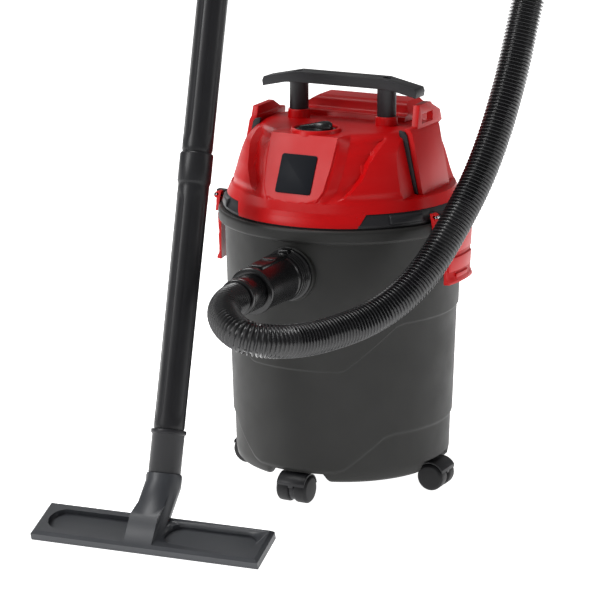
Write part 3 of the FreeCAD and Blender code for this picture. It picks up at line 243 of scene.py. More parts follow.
def natural_float():
    """Unpigmented polypropylene of the float: milky and waxy."""
    material = moulded("natural_polypropylene", linear("#d9d8cf"), 0.42, 1.0, 0.2)
    shader = material.node_tree.nodes["Principled BSDF"]
    shader.inputs["Subsurface Weight"].default_value = 0.2
    shader.inputs["Subsurface Scale"].default_value = 3 * MM
    return material


def metal(name, hex_code, roughness, spacing_mm, depth, along="Z"):
    """Bare metal with parallel marks across one axis, that far apart."""
    material, tree, shader, place = finish_base(name)
    shader.inputs["Base Color"].default_value = linear(hex_code) + [1]
    shader.inputs["Metallic"].default_value = 1.0
    scale = TAU / (20 * spacing_mm * MM)             # a wave texture turns 20 radians in each unit
    bands = add(tree, "ShaderNodeTexWave", {"bands_direction": along, "Scale": scale,
                                            "Distortion": 0.4, "Detail": 1.0}, {"Vector": place})
    rough = add(tree, "ShaderNodeMapRange", {"To Min": roughness - 0.06, "To Max": roughness + 0.06},
                {"Value": bands.outputs["Fac"]})
    tree.links.new(rough.outputs["Result"], shader.inputs["Roughness"])
    bump = add(tree, "ShaderNodeBump", {"Strength": depth, "Distance": 0.05 * MM},
               {"Height": bands.outputs["Fac"]})
    tree.links.new(bump.outputs["Normal"], shader.inputs["Normal"])
    return material


def zinc_steel():
    """Bright zinc plate on screws, pins and axles: pale, slightly blue, in soft bands 3.8 mm apart."""
    return metal("bright_zinc_steel", "#c9ccd0", 0.28, 3.77, 0.1)


def laminated_steel():
    """Stacked motor laminations: grey steel, its sheets' edges drawn 6.3 mm apart so that they show."""
    return metal("laminated_steel", "#8a8c90", 0.4, 6.283, 0.8)


def pressed_aluminium():
    """Pressed sheet aluminium of the fan: light and smooth, with faint press lines 9.4 mm apart."""
    return metal("pressed_aluminium", "#d6d8dc", 0.3, 9.425, 0.1, along="X")


def open_foam():
    """Open-cell foam sleeve: dark pores, drawn 1.6 mm across so that they show."""
    material, tree, shader, place = finish_base("open_cell_foam")
    pores = add(tree, "ShaderNodeTexVoronoi", {"Scale": 1000 / 1.6}, {"Vector": place})
    ramp = add(tree, "ShaderNodeValToRGB", {}, {"Fac": pores.outputs["Distance"]})
    ramp.color_ramp.elements[0].color = linear("#0c0c0d") + [1]
    ramp.color_ramp.elements[1].color = linear("#3a3a3d") + [1]
    tree.links.new(ramp.outputs["Color"], shader.inputs["Base Color"])
    shader.inputs["Roughness"].default_value = 0.95
    bump = add(tree, "ShaderNodeBump", {"Strength": 0.8, "Distance": 0.5 * MM},
               {"Height": pores.outputs["Distance"]})
    tree.links.new(bump.outputs["Normal"], shader.inputs["Normal"])
    return material


def studio_white():
    """Matt white studio table, lit a little from below so that shadows stay faint."""
    material, tree, shader, place = finish_base("studio_paper")
    fibres = add(tree, "ShaderNodeTexNoise", {"Scale": 60.0}, {"Vector": place})
    tone = add(tree, "ShaderNodeMix", {"data_type": "RGBA"}, {"Factor": fibres.outputs["Fac"]})
    tone.inputs[6].default_value = [c * 0.98 for c in colours().floor] + [1]
    tone.inputs[7].default_value = list(colours().floor) + [1]
    tree.links.new(tone.outputs[2], shader.inputs["Base Color"])
    shader.inputs["Roughness"].default_value = 0.9
    shader.inputs["Emission Color"].default_value = (1, 1, 1, 1)
    shader.inputs["Emission Strength"].default_value = 1.1
    return material


MAKERS = {
    "red_shell": red_abs, "tank_plastic": tank_polypropylene, "gloss_black": gloss_black,
    "satin_black": satin_black, "tube_black": tube_black, "nozzle_grey": nozzle_grey,
    "hose_black": hose_plastic, "seal_rubber": seal_rubber, "wheel_rubber": wheel_plastic,
    "zinc_steel": zinc_steel, "motor_steel": laminated_steel, "fan_aluminium": pressed_aluminium,
    "foam": open_foam, "float_white": natural_float, "label_black": label_film,
}
made = {}


def finish_of(slot):
    """The material of one of the record's slots, made once."""
    if slot not in made:
        made[slot] = MAKERS[slot]()
    return made[slot]


# ---------------------------------------------------------------- mesh helpers
# Shapes are made in millimetres and scaled to metres as each becomes a piece.
def clean(bm, gap=0.02):
    bmesh.ops.remove_doubles(bm, verts=bm.verts, dist=gap)
    bmesh.ops.recalc_face_normals(bm, faces=bm.faces)
    return bm


def piece(name, bm, slot, body, replaces=(), crease=38, place=None):
    """The bmesh as a shown piece that rides on a body and stands for some CAD nodes."""
    if place is not None:
        bmesh.ops.transform(bm, matrix=place, verts=bm.verts)
    bmesh.ops.scale(bm, vec=(MM, MM, MM), verts=bm.verts)
    mesh = bpy.data.meshes.new(name)
    bm.to_mesh(mesh)
    bm.free()
    mesh.shade_smooth()
    mesh.set_sharp_from_angle(angle=math.radians(crease))
    obj = bpy.data.objects.new(name, mesh)
    bpy.context.scene.collection.objects.link(obj)
    mesh.materials.append(finish_of(slot))
    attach(obj, body)
    if replaces:
        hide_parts(*replaces)
    return obj


def turned(profile, steps=96, axis="Z", spot=(0, 0, 0), closed=True):
    """A bmesh spun from (radius, distance) points; closed joins the last point to the first."""
    bm = bmesh.new()
    verts = [bm.verts.new((r, 0, h)) for r, h in profile]
    pairs = list(zip(verts, verts[1:])) + ([(verts[-1], verts[0])] if closed else [])
    on_axis = [(a, b) for a, b in pairs if not (a.co.x == 0 and b.co.x == 0)]
    edges = [bm.edges.new(pair) for pair in on_axis]
    bmesh.ops.spin(bm, geom=verts + edges, cent=(0, 0, 0), axis=(0, 0, 1), angle=TAU, steps=steps,
                   use_merge=True)
    clean(bm, 0.001)
    turn = {"Z": Matrix(), "Y": Matrix.Rotation(-math.pi / 2, 4, "X")}[axis]
    bmesh.ops.transform(bm, matrix=Matrix.Translation(spot) @ turn, verts=bm.verts)
    return bm


def lofted(sections):
    """A closed bmesh through sections that each hold the same number of points."""
    bm = bmesh.new()
    rings = [[bm.verts.new(point) for point in section] for section in sections]
    for one, two in zip(rings, rings[1:]):
        for i in range(len(one)):
            j = (i + 1) % len(one)
            bm.faces.new((one[i], one[j], two[j], two[i]))
    bm.faces.new(rings[0][::-1])
    bm.faces.new(rings[-1])
    bmesh.ops.recalc_face_normals(bm, faces=bm.faces)
    return bm


def sector(profile, start, end, steps=12):
    """A closed (radius, height) outline swept round the Z axis between two azimuths."""
    turns = [math.radians(start + (end - start) * i / steps) for i in range(steps + 1)]
    return lofted([[(r * math.sin(az), -r * math.cos(az), h) for r, h in profile] for az in turns])


def rounded(points, radius, parts=4):
    """The closed outline with each corner turned into a short curve of about that radius."""
    out = []
    for i, corner in enumerate(points):
        here = Vector(corner)
        into = Vector(points[i - 1]) - here
        leave = Vector(points[(i + 1) % len(points)]) - here
        reach = min(radius, into.length * 0.45, leave.length * 0.45)
        a, b = here + into.normalized() * reach, here + leave.normalized() * reach
        for step in range(parts + 1):
            t = step / parts
            p = a * (1 - t) ** 2 + here * 2 * t * (1 - t) + b * t ** 2
            out.append((p.x, p.y))
    return out


def extruded(outline, start, end, axis="Y"):
    """A closed prism: the outline lies across the axis and runs from start to end along it."""
    bm = bmesh.new()
    along = {"X": lambda a, b: (start, a, b), "Y": lambda a, b: (a, start, b)}[axis]
    face = bm.faces.new([bm.verts.new(along(a, b)) for a, b in outline])
    grown = bmesh.ops.extrude_face_region(bm, geom=[face])
    step = {"X": Vector((1, 0, 0)), "Y": Vector((0, 1, 0))}[axis] * (end - start)
    moved = [g for g in grown["geom"] if isinstance(g, bmesh.types.BMVert)]
    bmesh.ops.translate(bm, vec=step, verts=moved)
    bmesh.ops.recalc_face_normals(bm, faces=bm.faces)
    return bm


def soften(bm, offset, angle=30, segments=3):
    """Bevel every edge sharper than the angle, as a mould's rounded corners."""
    bm.normal_update()
    limit = math.radians(angle)
    edges = [e for e in bm.edges if len(e.link_faces) == 2 and e.calc_face_angle(0) > limit]
    bmesh.ops.bevel(bm, geom=edges, offset=offset, offset_type="OFFSET", segments=segments,
                    profile=0.5, affect="EDGES", clamp_overlap=True, material=-1)
    return clean(bm, 0.005)


def copied(node, offset, angle=30, segments=2):
    """A merged copy of a CAD node's mesh in millimetres, with its hard edges rounded."""
    bm = bmesh.new()
    bm.from_mesh(frame["nodes"][node].data)
    bmesh.ops.scale(bm, vec=(1000, 1000, 1000), verts=bm.verts)
    bmesh.ops.remove_doubles(bm, verts=bm.verts, dist=0.004)
    bmesh.ops.dissolve_limit(bm, angle_limit=math.radians(0.6), verts=bm.verts, edges=bm.edges,
                             use_dissolve_boundaries=False)
    return soften(bm, offset, angle, segments)


def merged(*parts):
    """Several bmeshes as one, each closed on its own."""
    whole = bmesh.new()
    for part in parts:
        mesh = bpy.data.meshes.new("part")
        part.to_mesh(mesh)
        part.free()
        whole.from_mesh(mesh)
        bpy.data.meshes.remove(mesh)
    return whole


def ease(t):
    """0 below 0, 1 above 1, and smooth between."""
    t = max(0.0, min(1.0, t))
    return t * t * (3 - 2 * t)


def between(table, t):
    """Straight-line reading of [(t, value), ...] at t."""
    if t <= table[0][0]:
        return table[0][1]
    for (t0, v0), (t1, v1) in zip(table, table[1:]):
        if t <= t1:
            return v0 + (v1 - v0) * (t - t0) / (t1 - t0)
    return table[-1][1]


def sampled(points, spacing):
    """The polyline's points with more added, no further apart than spacing."""
    out = [points[0]]
    for (x0, y0), (x1, y1) in zip(points, points[1:]):
        parts = max(1, math.ceil(math.hypot(x1 - x0, y1 - y0) / spacing))
        out += [(x0 + (x1 - x0) * i / parts, y0 + (y1 - y0) * i / parts)
                for i in range(1, parts + 1)]
    return out


def azimuth(co):
    """Degrees round from the front, positive towards +X, and the distance from the axis."""
    return math.degrees(math.atan2(co.x, -co.y)), math.hypot(co.x, co.y)


def set_polar(co, az, radius):
    co.x = radius * math.sin(math.radians(az))
    co.y = -radius * math.cos(math.radians(az))


# ---------------------------------------------------------------- stage
CAMERA_PLACE = (1.5706, -3.2201, 1.1376)
CAMERA_AIM = (-0.4383, 0.8646, -0.2456)          # the way it looks
CAMERA_LENS = 174
FLOOR_DROP = 0.0005                              # keeps the floor just clear of the lowest faces
LIGHTS = (                                       # name, place, aim, size, watts
    ("key", (-2.0, -2.6, 2.2), (0, 0, 0.4), (1.0, 1.5), 62),
    ("side", (2.6, 0.9, 1.5), (0, 0, 0.4), (0.5, 1.8), 11),
    ("top", (-0.8, -0.4, 3.0), (0, 0, 0.4), (1.0, 1.0), 36),
    ("back", (-2.4, 1.8, 1.8), (0, 0, 0.5), (0.6, 1.4), 8),
)


class ShopVacStage(bpy.types.Operator):
    """Pale floor, soft studio lights and the camera"""

    bl_idname = "shopvac.stage"
    bl_label = "Stage, lights and camera"

    def execute(self, context):
        scene = context.scene
        bm = bmesh.new()
        bmesh.ops.create_grid(bm, x_segments=2, y_segments=2, size=30)
        mesh = bpy.data.meshes.new("floor")
        bm.to_mesh(mesh)
        bm.free()
        floor = bpy.data.objects.new("floor", mesh)
        mesh.materials.append(studio_white())
        scene.collection.objects.link(floor)
        floor.location.z = -FLOOR_DROP

        world = bpy.data.worlds.new("studio")
        world.use_nodes = True
        background = world.node_tree.nodes["Background"].inputs
        background["Color"].default_value = (1, 1, 1, 1)
        background["Strength"].default_value = 0.26
        scene.world = world
        scene.view_settings.view_transform = "Standard"

        for name, place, aim, size, power in LIGHTS:
            light = bpy.data.lights.new(name, "AREA")
            light.shape = "RECTANGLE"
            light.size, light.size_y = size
            light.energy = power
            lamp = bpy.data.objects.new(name, light)
            lamp.location = place
            lamp.rotation_euler = (Vector(aim) - Vector(place)).to_track_quat("-Z", "Y").to_euler()
            scene.collection.objects.link(lamp)

        camera = bpy.data.cameras.new("camera")
        camera.lens = CAMERA_LENS
        camera.sensor_width = 36
        camera.clip_end = 100
        rig = bpy.data.objects.new("camera", camera)
        rig.location = CAMERA_PLACE
        rig.rotation_euler = Vector(CAMERA_AIM).to_track_quat("-Z", "Y").to_euler()
        scene.collection.objects.link(rig)
        scene.camera = rig
        return {"FINISHED"}


# ---------------------------------------------------------------- hose
# The hose's own route, in millimetres: out of the connector, round in a loop, up past the drum and
# over to the wand's handle.
ROUTE = [
    (0, -288, 297), (0, -308, 297), (6, -334, 290), (28, -359, 282), (58, -371, 274), (84, -348, 268),
    (101, -309, 263), (119, -268, 264), (139, -222, 270), (160, -180, 287), (179, -137, 318),
    (192, -91, 364), (202, -45, 411), (208, -3, 466), (211, 38, 531), (212, 72, 601), (220, 97, 675),
    (232, 109, 750), (240, 112, 820), (226, 106, 890), (189, 91, 942), (136, 70, 974), (74, 43, 981),
    (16.2, 15.2, 958.9), (-25.1, 0.2, 929.2),
]
HOSE_BORE = 16


def centreline(points):
    """Points of the smooth NURBS line whose control points are given, in millimetres."""
    curve = bpy.data.curves.new("line", "CURVE")
    curve.dimensions = "3D"
    spline = curve.splines.new("NURBS")
    spline.points.add(len(points) - 1)
    for point, co in zip(spline.points, points):
        point.co = (*co, 1)
    spline.order_u = 3
    spline.use_endpoint_u = True
    spline.resolution_u = 24
    obj = bpy.data.objects.new("line", curve)
    bpy.context.scene.collection.objects.link(obj)
    bpy.context.view_layer.update()
    mesh = bpy.data.meshes.new_from_object(obj)
    line = [v.co.copy() for v in mesh.vertices]
    bpy.data.objects.remove(obj)
    bpy.data.curves.remove(curve)
    bpy.data.meshes.remove(mesh)
    return line


def along_line(line):
    """A function that gives the place and the two cross directions at a distance along the line."""
    gone = [0.0]
    for a, b in zip(line, line[1:]):
        gone.append(gone[-1] + (b - a).length)
    ways = [(b - a).normalized() for a, b in zip(line, line[1:])]
    ways = [ways[0]] + [(a + b).normalized() for a, b in zip(ways, ways[1:])] + [ways[-1]]
    sides = [ways[0].cross(UP).normalized()]
    for a, b in zip(ways, ways[1:]):
        sides.append((sides[-1] - b * sides[-1].dot(b)).normalized())

    def at(distance):
        distance = max(0.0, min(gone[-1], distance))
        low, high = 0, len(gone) - 1
        while high - low > 1:
            middle = (low + high) // 2
            low, high = (middle, high) if gone[middle] <= distance else (low, middle)
        t = (distance - gone[low]) / max(1e-9, gone[high] - gone[low])
        way = ways[low].lerp(ways[high], t).normalized()
        side = sides[low].lerp(sides[high], t)
        side = (side - way * side.dot(way)).normalized()
        return line[low].lerp(line[high], t), side, way.cross(side)

    return at, gone[-1]


class ShopVacHoseMaker(bpy.types.Operator):
    """Ridged suction hose from the drum's inlet to the wand's handle"""

    bl_idname = "shopvac.hose"
    bl_label = "Suction hose"

    def execute(self, context):
        top = hose_sizes().radius / MM
        low = top - hose_sizes().ridge / MM
        line = centreline(ROUTE)
        at, whole = along_line(line)
        ridges = round(whole / (hose_sizes().pitch / MM))
        pitch = whole / ridges
        outer = []
        for i in range(ridges):
            outer += [(low, pitch * i), (low, pitch * (i + 0.4)), (top - 0.5, pitch * (i + 0.56)),
                      (top, pitch * (i + 0.63)), (top, pitch * (i + 0.73)),
                      (top - 0.5, pitch * (i + 0.8)), (low + 0.2, pitch * (i + 0.95))]
        outer.append((low, whole))
        inner = [(HOSE_BORE, whole * (1 - i / 220)) for i in range(221)]
        bm = turned(outer + inner, steps=40)
        for v in bm.verts:
            spot, side, up = at(v.co.z)
            v.co = spot + side * v.co.x + up * v.co.y
        bmesh.ops.recalc_face_normals(bm, faces=bm.faces)
        hose = piece("ridged_hose", bm, "hose_black", "root", ["hose"], crease=75)
        return {"FINISHED"}


# ---------------------------------------------------------------- tank
UNDER_RIM = 338.0                                # top of the tapered wall, where the rim starts
WALL_FOOT = 40.0                                 # lowest row of the tapered wall
UPPER_STEP = 198.4                               # nominal height where the upper moulded step starts
LOWER_STEP = 79.0                                # and the lower one, before both follow tank_lines()


def tank_lines(az):
    """Heights of the tank's lower edge and of its two moulded lines, at that azimuth."""
    a = min(abs(az), 180 - abs(az))
    upper = between([(24, 174), (27, 176), (53, 229), (58, 232)], a)
    lower = between([(22, 43), (27, 47), (48, 87), (54, 90)], a)
    near = min(abs(((az - spot + 180) % 360) - 180) for spot in (0, 90, 180, 270))
    across = 141 * math.sin(math.radians(near))
    edge = between([(35, 39), (37, 38), (44, 29), (47, 28)], across)
    return edge, lower, upper


class ShopVacTank(bpy.types.Operator):
    """Tapered drum with its rim, moulded steps, foot arches and inlet boss"""

    bl_idname = "shopvac.tank"
    bl_label = "Tank"

    def execute(self, context):
        sizes = drum()
        high, low = sizes.top_radius / MM, sizes.low_radius / MM
        wall, step = sizes.wall / MM, sizes.step / MM
        foot = sizes.foot / MM
        # rows of the wall at nominal heights: foot, lower line at 80-86, upper line at 198-201, rim
        rows = ([40, 44, 50, 60, 70, 76, 78.5, 80, 82, 84, 86, 87.5, 90]
                + [90 + i * 13.2 for i in range(1, 8)] + [194, 197, 198, 199.2, 200.6, 201.8, 203, 207]
                + [207 + i * 12.8 for i in range(1, 10)] + [331, 335.5])

        def radius_at(z):
            return low + (high - low) * (z - WALL_FOOT) / (UNDER_RIM - WALL_FOOT)

        outside = [(133, foot), (136.4, 29.6), (139.4, 33)] + [(radius_at(z), z) for z in rows]
        rim = [(150, 337.2), (150.5, 338), (154.4, 338), (156.6, 338.8), (158.2, 340.6), (158.5, 342),
               (158.5, 350.6), (158.1, 352.8), (157, 354.4), (155.4, 355), (148.2, 355),
               (147.1, 354.6), (146.9, 353.6)]
        inside = [(radius_at(z) - wall, z) for z in reversed(rows) if z > 66]
        floor = [(135.9, 59), (60, 59), (0, 59), (0, 56), (60, 56), (136.4, 56), (138.1, 54), (137.9, 44),
                 (137.2, 38), (135, 34), (131, 31), (129.5, foot)]
        bm = turned(outside + rim + inside + floor, steps=288)
        for v in bm.verts:
            az, radius = azimuth(v.co)
            z = v.co.z
            if radius < 100 or z > 336:
                continue
            edge, lower, upper = tank_lines(az)
            drop = step * (2 - ease((z - UPPER_STEP) / 3.2) - ease((z - LOWER_STEP) / 6.5))
            nominal = [(28, edge), (34, max(edge + 3.4, 34)), (41, 43.5), (79, lower - 3.2),
                       (87, lower + 3.2), (198, upper - 1.6), (202, upper + 1.6), (336, 336)]
            if radius < radius_at(z) - wall * 0.5 and z < 66:
                nominal = [(28, edge), (34, max(edge + 3.4, 34)), (46, 46), (66, 66)]
            new_z = between(nominal, z)
            if z >= 34:
                radius += radius_at(new_z) - radius_at(z)
            set_polar(v.co, az, radius - drop)
            v.co.z = new_z
        boss = turned([(25.2, -141), (25.2, -152.6), (26, -153), (33, -153), (34, -152.2), (34, -141)],
                      64, "Y", (0, 0, INLET_HEIGHT / MM))
        bmesh.ops.recalc_face_normals(bm, faces=bm.faces)
        piece("drum_tank", merged(bm, boss), "tank_plastic", "root", ["tank"], crease=40)
        return {"FINISHED"}


# ---------------------------------------------------------------- casters
class ShopVacCasters(bpy.types.Operator):
    """Twin-wheel casters under the drum"""

    bl_idname = "shopvac.casters"
    bl_label = "Casters"

    def execute(self, context):
        for side in ("front", "right", "back", "left"):
            hood = copied("caster_housing_" + side, 0.9, 32)
            piece("caster_hood_" + side, hood, "satin_black", "caster_" + side,
                  ["caster_housing_" + side])
            wheels = copied("caster_wheels_" + side, 1.2, 40)
            piece("caster_twin_wheels_" + side, wheels, "wheel_rubber", "wheels_" + side,
                  ["caster_wheels_" + side])
        return {"FINISHED"}


# ---------------------------------------------------------------- inlet
class ShopVacInlet(bpy.types.Operator):
    """Inlet socket, ridged connector with its button, and the hose's cuff"""

    bl_idname = "shopvac.inlet"
    bl_label = "Inlet and hose connector"

    def execute(self, context):
        spot = (0, 0, INLET_HEIGHT / MM)
        socket = turned([
            (26, -134), (26, -172), (26.8, -172.6), (29, -172.6), (29.8, -172), (30, -171), (30, -169.4),
            (29.2, -168.8), (29.2, -167.6), (30, -167), (30, -164.6), (29.2, -164), (29.2, -162.8),
            (30, -162.2), (30.2, -160), (31, -159.2), (32, -158.8), (32.5, -158), (32.5, -154.6),
            (32.1, -154), (24.8, -154), (24.8, -134)][::-1], 96, "Y", spot)
        tab = soften(extruded([(-7, 28), (7, 28), (6, 33.6), (-6, 33.6)], -168, -154.5, "Y"), 0.8)
        bmesh.ops.translate(tab, vec=spot, verts=tab.verts)
        piece("inlet_collar", merged(socket, tab), "gloss_black", "root", ["inlet_socket"])
        barrel = turned([
            (21, -172.9), (21, -251), (21.6, -252), (28, -252), (28.8, -251.4), (29, -250.4), (29, -246.8),
            (28.6, -245.6), (27.6, -245), (27.5, -243), (27.75, -210), (28, -181), (28.2, -179.4),
            (28.8, -178.6), (29, -177.6), (29, -173.6), (28.4, -172.9)], 96, "Y", spot)
        ridge = soften(extruded([(-10, 24), (10, 24), (10, 28.4), (8.6, 30), (-8.6, 30), (-10, 28.4)],
                                -240, -174, "Y"), 0.8)
        bmesh.ops.translate(ridge, vec=spot, verts=ridge.verts)
        piece("connector_barrel", merged(barrel, ridge), "gloss_black", "connector",
              ["hose_connector"])
        piece("connector_button", copied("release_button", 0.7), "gloss_black", "button",
              ["release_button"])
        cuff = turned([
            (16, -253), (16, -287.4), (16.6, -288), (21.4, -288), (22.2, -287.5), (22.5, -286.6),
            (22.5, -283.4), (22, -282.8), (22, -281.6), (22.5, -281), (22.5, -254), (22.1, -253.2),
            (20.9, -253), (20.9, -236), (16, -236)], 96, "Y", spot)
        piece("inlet_hose_cuff", cuff, "gloss_black", "root", ["hose_cuff"])
        return {"FINISHED"}


# ---------------------------------------------------------------- wand
WAND_YAW = math.radians(10.4)
WAND_FOOT = Vector((-80.4, -338.6, 15))
WAND_PLACE = (Matrix.Translation(WAND_FOOT) @ Matrix.Rotation(WAND_YAW, 4, "Z")
              @ Matrix.Rotation(math.radians(-20), 4, "X"))


def wand_tube(name, node, start):
    """One tube: plain ends, four long flutes with rounded ends, and a socket at its top."""
    sizes = wand_sizes()
    body, socket = sizes.tube_radius / MM, sizes.socket_radius / MM
    end = start + sizes.pitch / MM
    outer = [(17.3, start), (18, start + 0.8), (18, start + 33.4), (18.2, start + 34.4),
             (18.8, start + 36.6)]
    first, last = start + 42, end - 15
    outer += sampled([(18.85, first - 3), (18.9, first), (body, last), (body, end - 7)], 4)
    outer += [(19.6, end - 5.6), (socket - 0.4, end - 4.2), (socket, end - 3), (socket, end + 29.6),
              (socket - 0.5, end + 31.4), (socket - 1.3, end + 32), (18.6, end + 32), (18.1, end + 31)]
    inner = [(18.1, end + 2), (16.4, end), (16.4, start + 40), (16.2, start)]
    bm = turned(outer + inner, steps=96)
    for v in bm.verts:
        radius = math.hypot(v.co.x, v.co.y)
        if radius < 18.7 or not first - 1 < v.co.z < last + 1:
            continue
        turn = math.degrees(math.atan2(v.co.y, v.co.x)) % 90
        across = abs(turn - 45) / 31.0
        reach = min(v.co.z - first, last - v.co.z) / 16.0
        deep = ease((1 - across) / 0.12) * ease(min(1, reach - across ** 2 * 0.8) / 0.3)
        scale = 1 - deep * sizes.flute / MM / radius
        v.co.x *= scale
        v.co.y *= scale
    bmesh.ops.recalc_face_normals(bm, faces=bm.faces)
    piece(name, bm, "tube_black", "root", [node], place=WAND_PLACE, crease=45)


class ShopVacWandMaker(bpy.types.Operator):
    """Neck adapter, two fluted tubes, the bent handle and its air regulator"""

    bl_idname = "shopvac.wand"
    bl_label = "Wand"

    def execute(self, context):
        wand_tube("wand_tube_low", "wand_lower", 84)
        wand_tube("wand_tube_high", "wand_upper", 424)
        adapter = turned([
            (14.4, 45), (17.5, 45), (17.5, 64.6), (19, 64.8), (19.8, 66), (19.8, 111.6), (20.4, 112.6),
            (21.3, 113.2), (21.6, 114), (21.6, 117), (21.2, 117.8), (20.4, 118), (18.2, 118), (18.2, 86),
            (14.4, 84)], 96)
        piece("neck_ring", adapter, "satin_black", "root", ["neck_adapter"], place=WAND_PLACE)
        piece("bent_handle", copied("handle_tube", 0.8), "tube_black", "root", ["handle_tube"])
        piece("air_slide", copied("air_regulator", 0.6), "satin_black", "regulator", ["air_regulator"])
        piece("handle_hose_cuff", copied("hose_end_cuff", 0.7), "satin_black", "root", ["hose_end_cuff"])
        return {"FINISHED"}


class ShopVacNozzle(bpy.types.Operator):
    """Floor nozzle with two sunk windows, bevelled ends, its gusset and rubber strips"""

    bl_idname = "shopvac.nozzle"
    bl_label = "Floor nozzle"

    def execute(self, context):
        piece("floor_nozzle", copied("nozzle_body", 1.1, 28, 3), "nozzle_grey", "root", ["nozzle_body"])
        for side in ("front", "rear"):
            piece("nozzle_strip_" + side, copied(f"nozzle_{side}_strip", 0.4), "seal_rubber", "root",
                  [f"nozzle_{side}_strip"])
        return {"FINISHED"}


# ---------------------------------------------------------------- head
DOME = [(386, 139.6), (388, 138.4), (402, 134.6), (417, 131), (431, 126.3), (442, 121.5), (447, 117.2),
        (452, 112), (455.6, 108.4), (458.6, 104), (461, 100), (462.4, 96), (463, 90)]
CREASE_BULGE = [(14, 147.4), (22, 145.6), (30, 143.4), (40, 141.5), (180, 141.5)]
RIDGE = [(386, 20), (392, 25), (400, 29), (414, 34.6), (431, 38.4), (443, 43), (452, 49), (457, 54.5)]
PAD_HALF = [(373, 28), (387, 32), (402, 40), (430, 43.5), (463, 45)]
PAD_SIDE = [(387, 16), (402, 19), (463, 21)]     # width of the slope beside the pad
COVER_WALL = 2.6
BIB_FOOT, SKIRT_FOOT, CREASE, DECK = 357.3, 373.2, 386, 463
PAD_SLOPE = 0.4854                               # how far the pad leans back for each mm up
KNOB_MIDDLE = -78.5
OUTLET_HEIGHT = 416
HUMP_STEP = 472


def pad_plane(z):
    """How far forward the flat front pad stands at that height."""
    return 110.1 + (462 - z) * PAD_SLOPE


def pad_reach(az, z):
    """Radius of the pad at that azimuth, where it hasn't passed the bib's rounded front."""
    return min(pad_plane(z) / math.cos(math.radians(az)), 147.9 + (z - CREASE) * 0.12)


def side_flat(z):
    """How far out the cover's flat sides stand, behind the wings, at that height."""
    return 100 + (461 - min(z, 461)) * 0.24


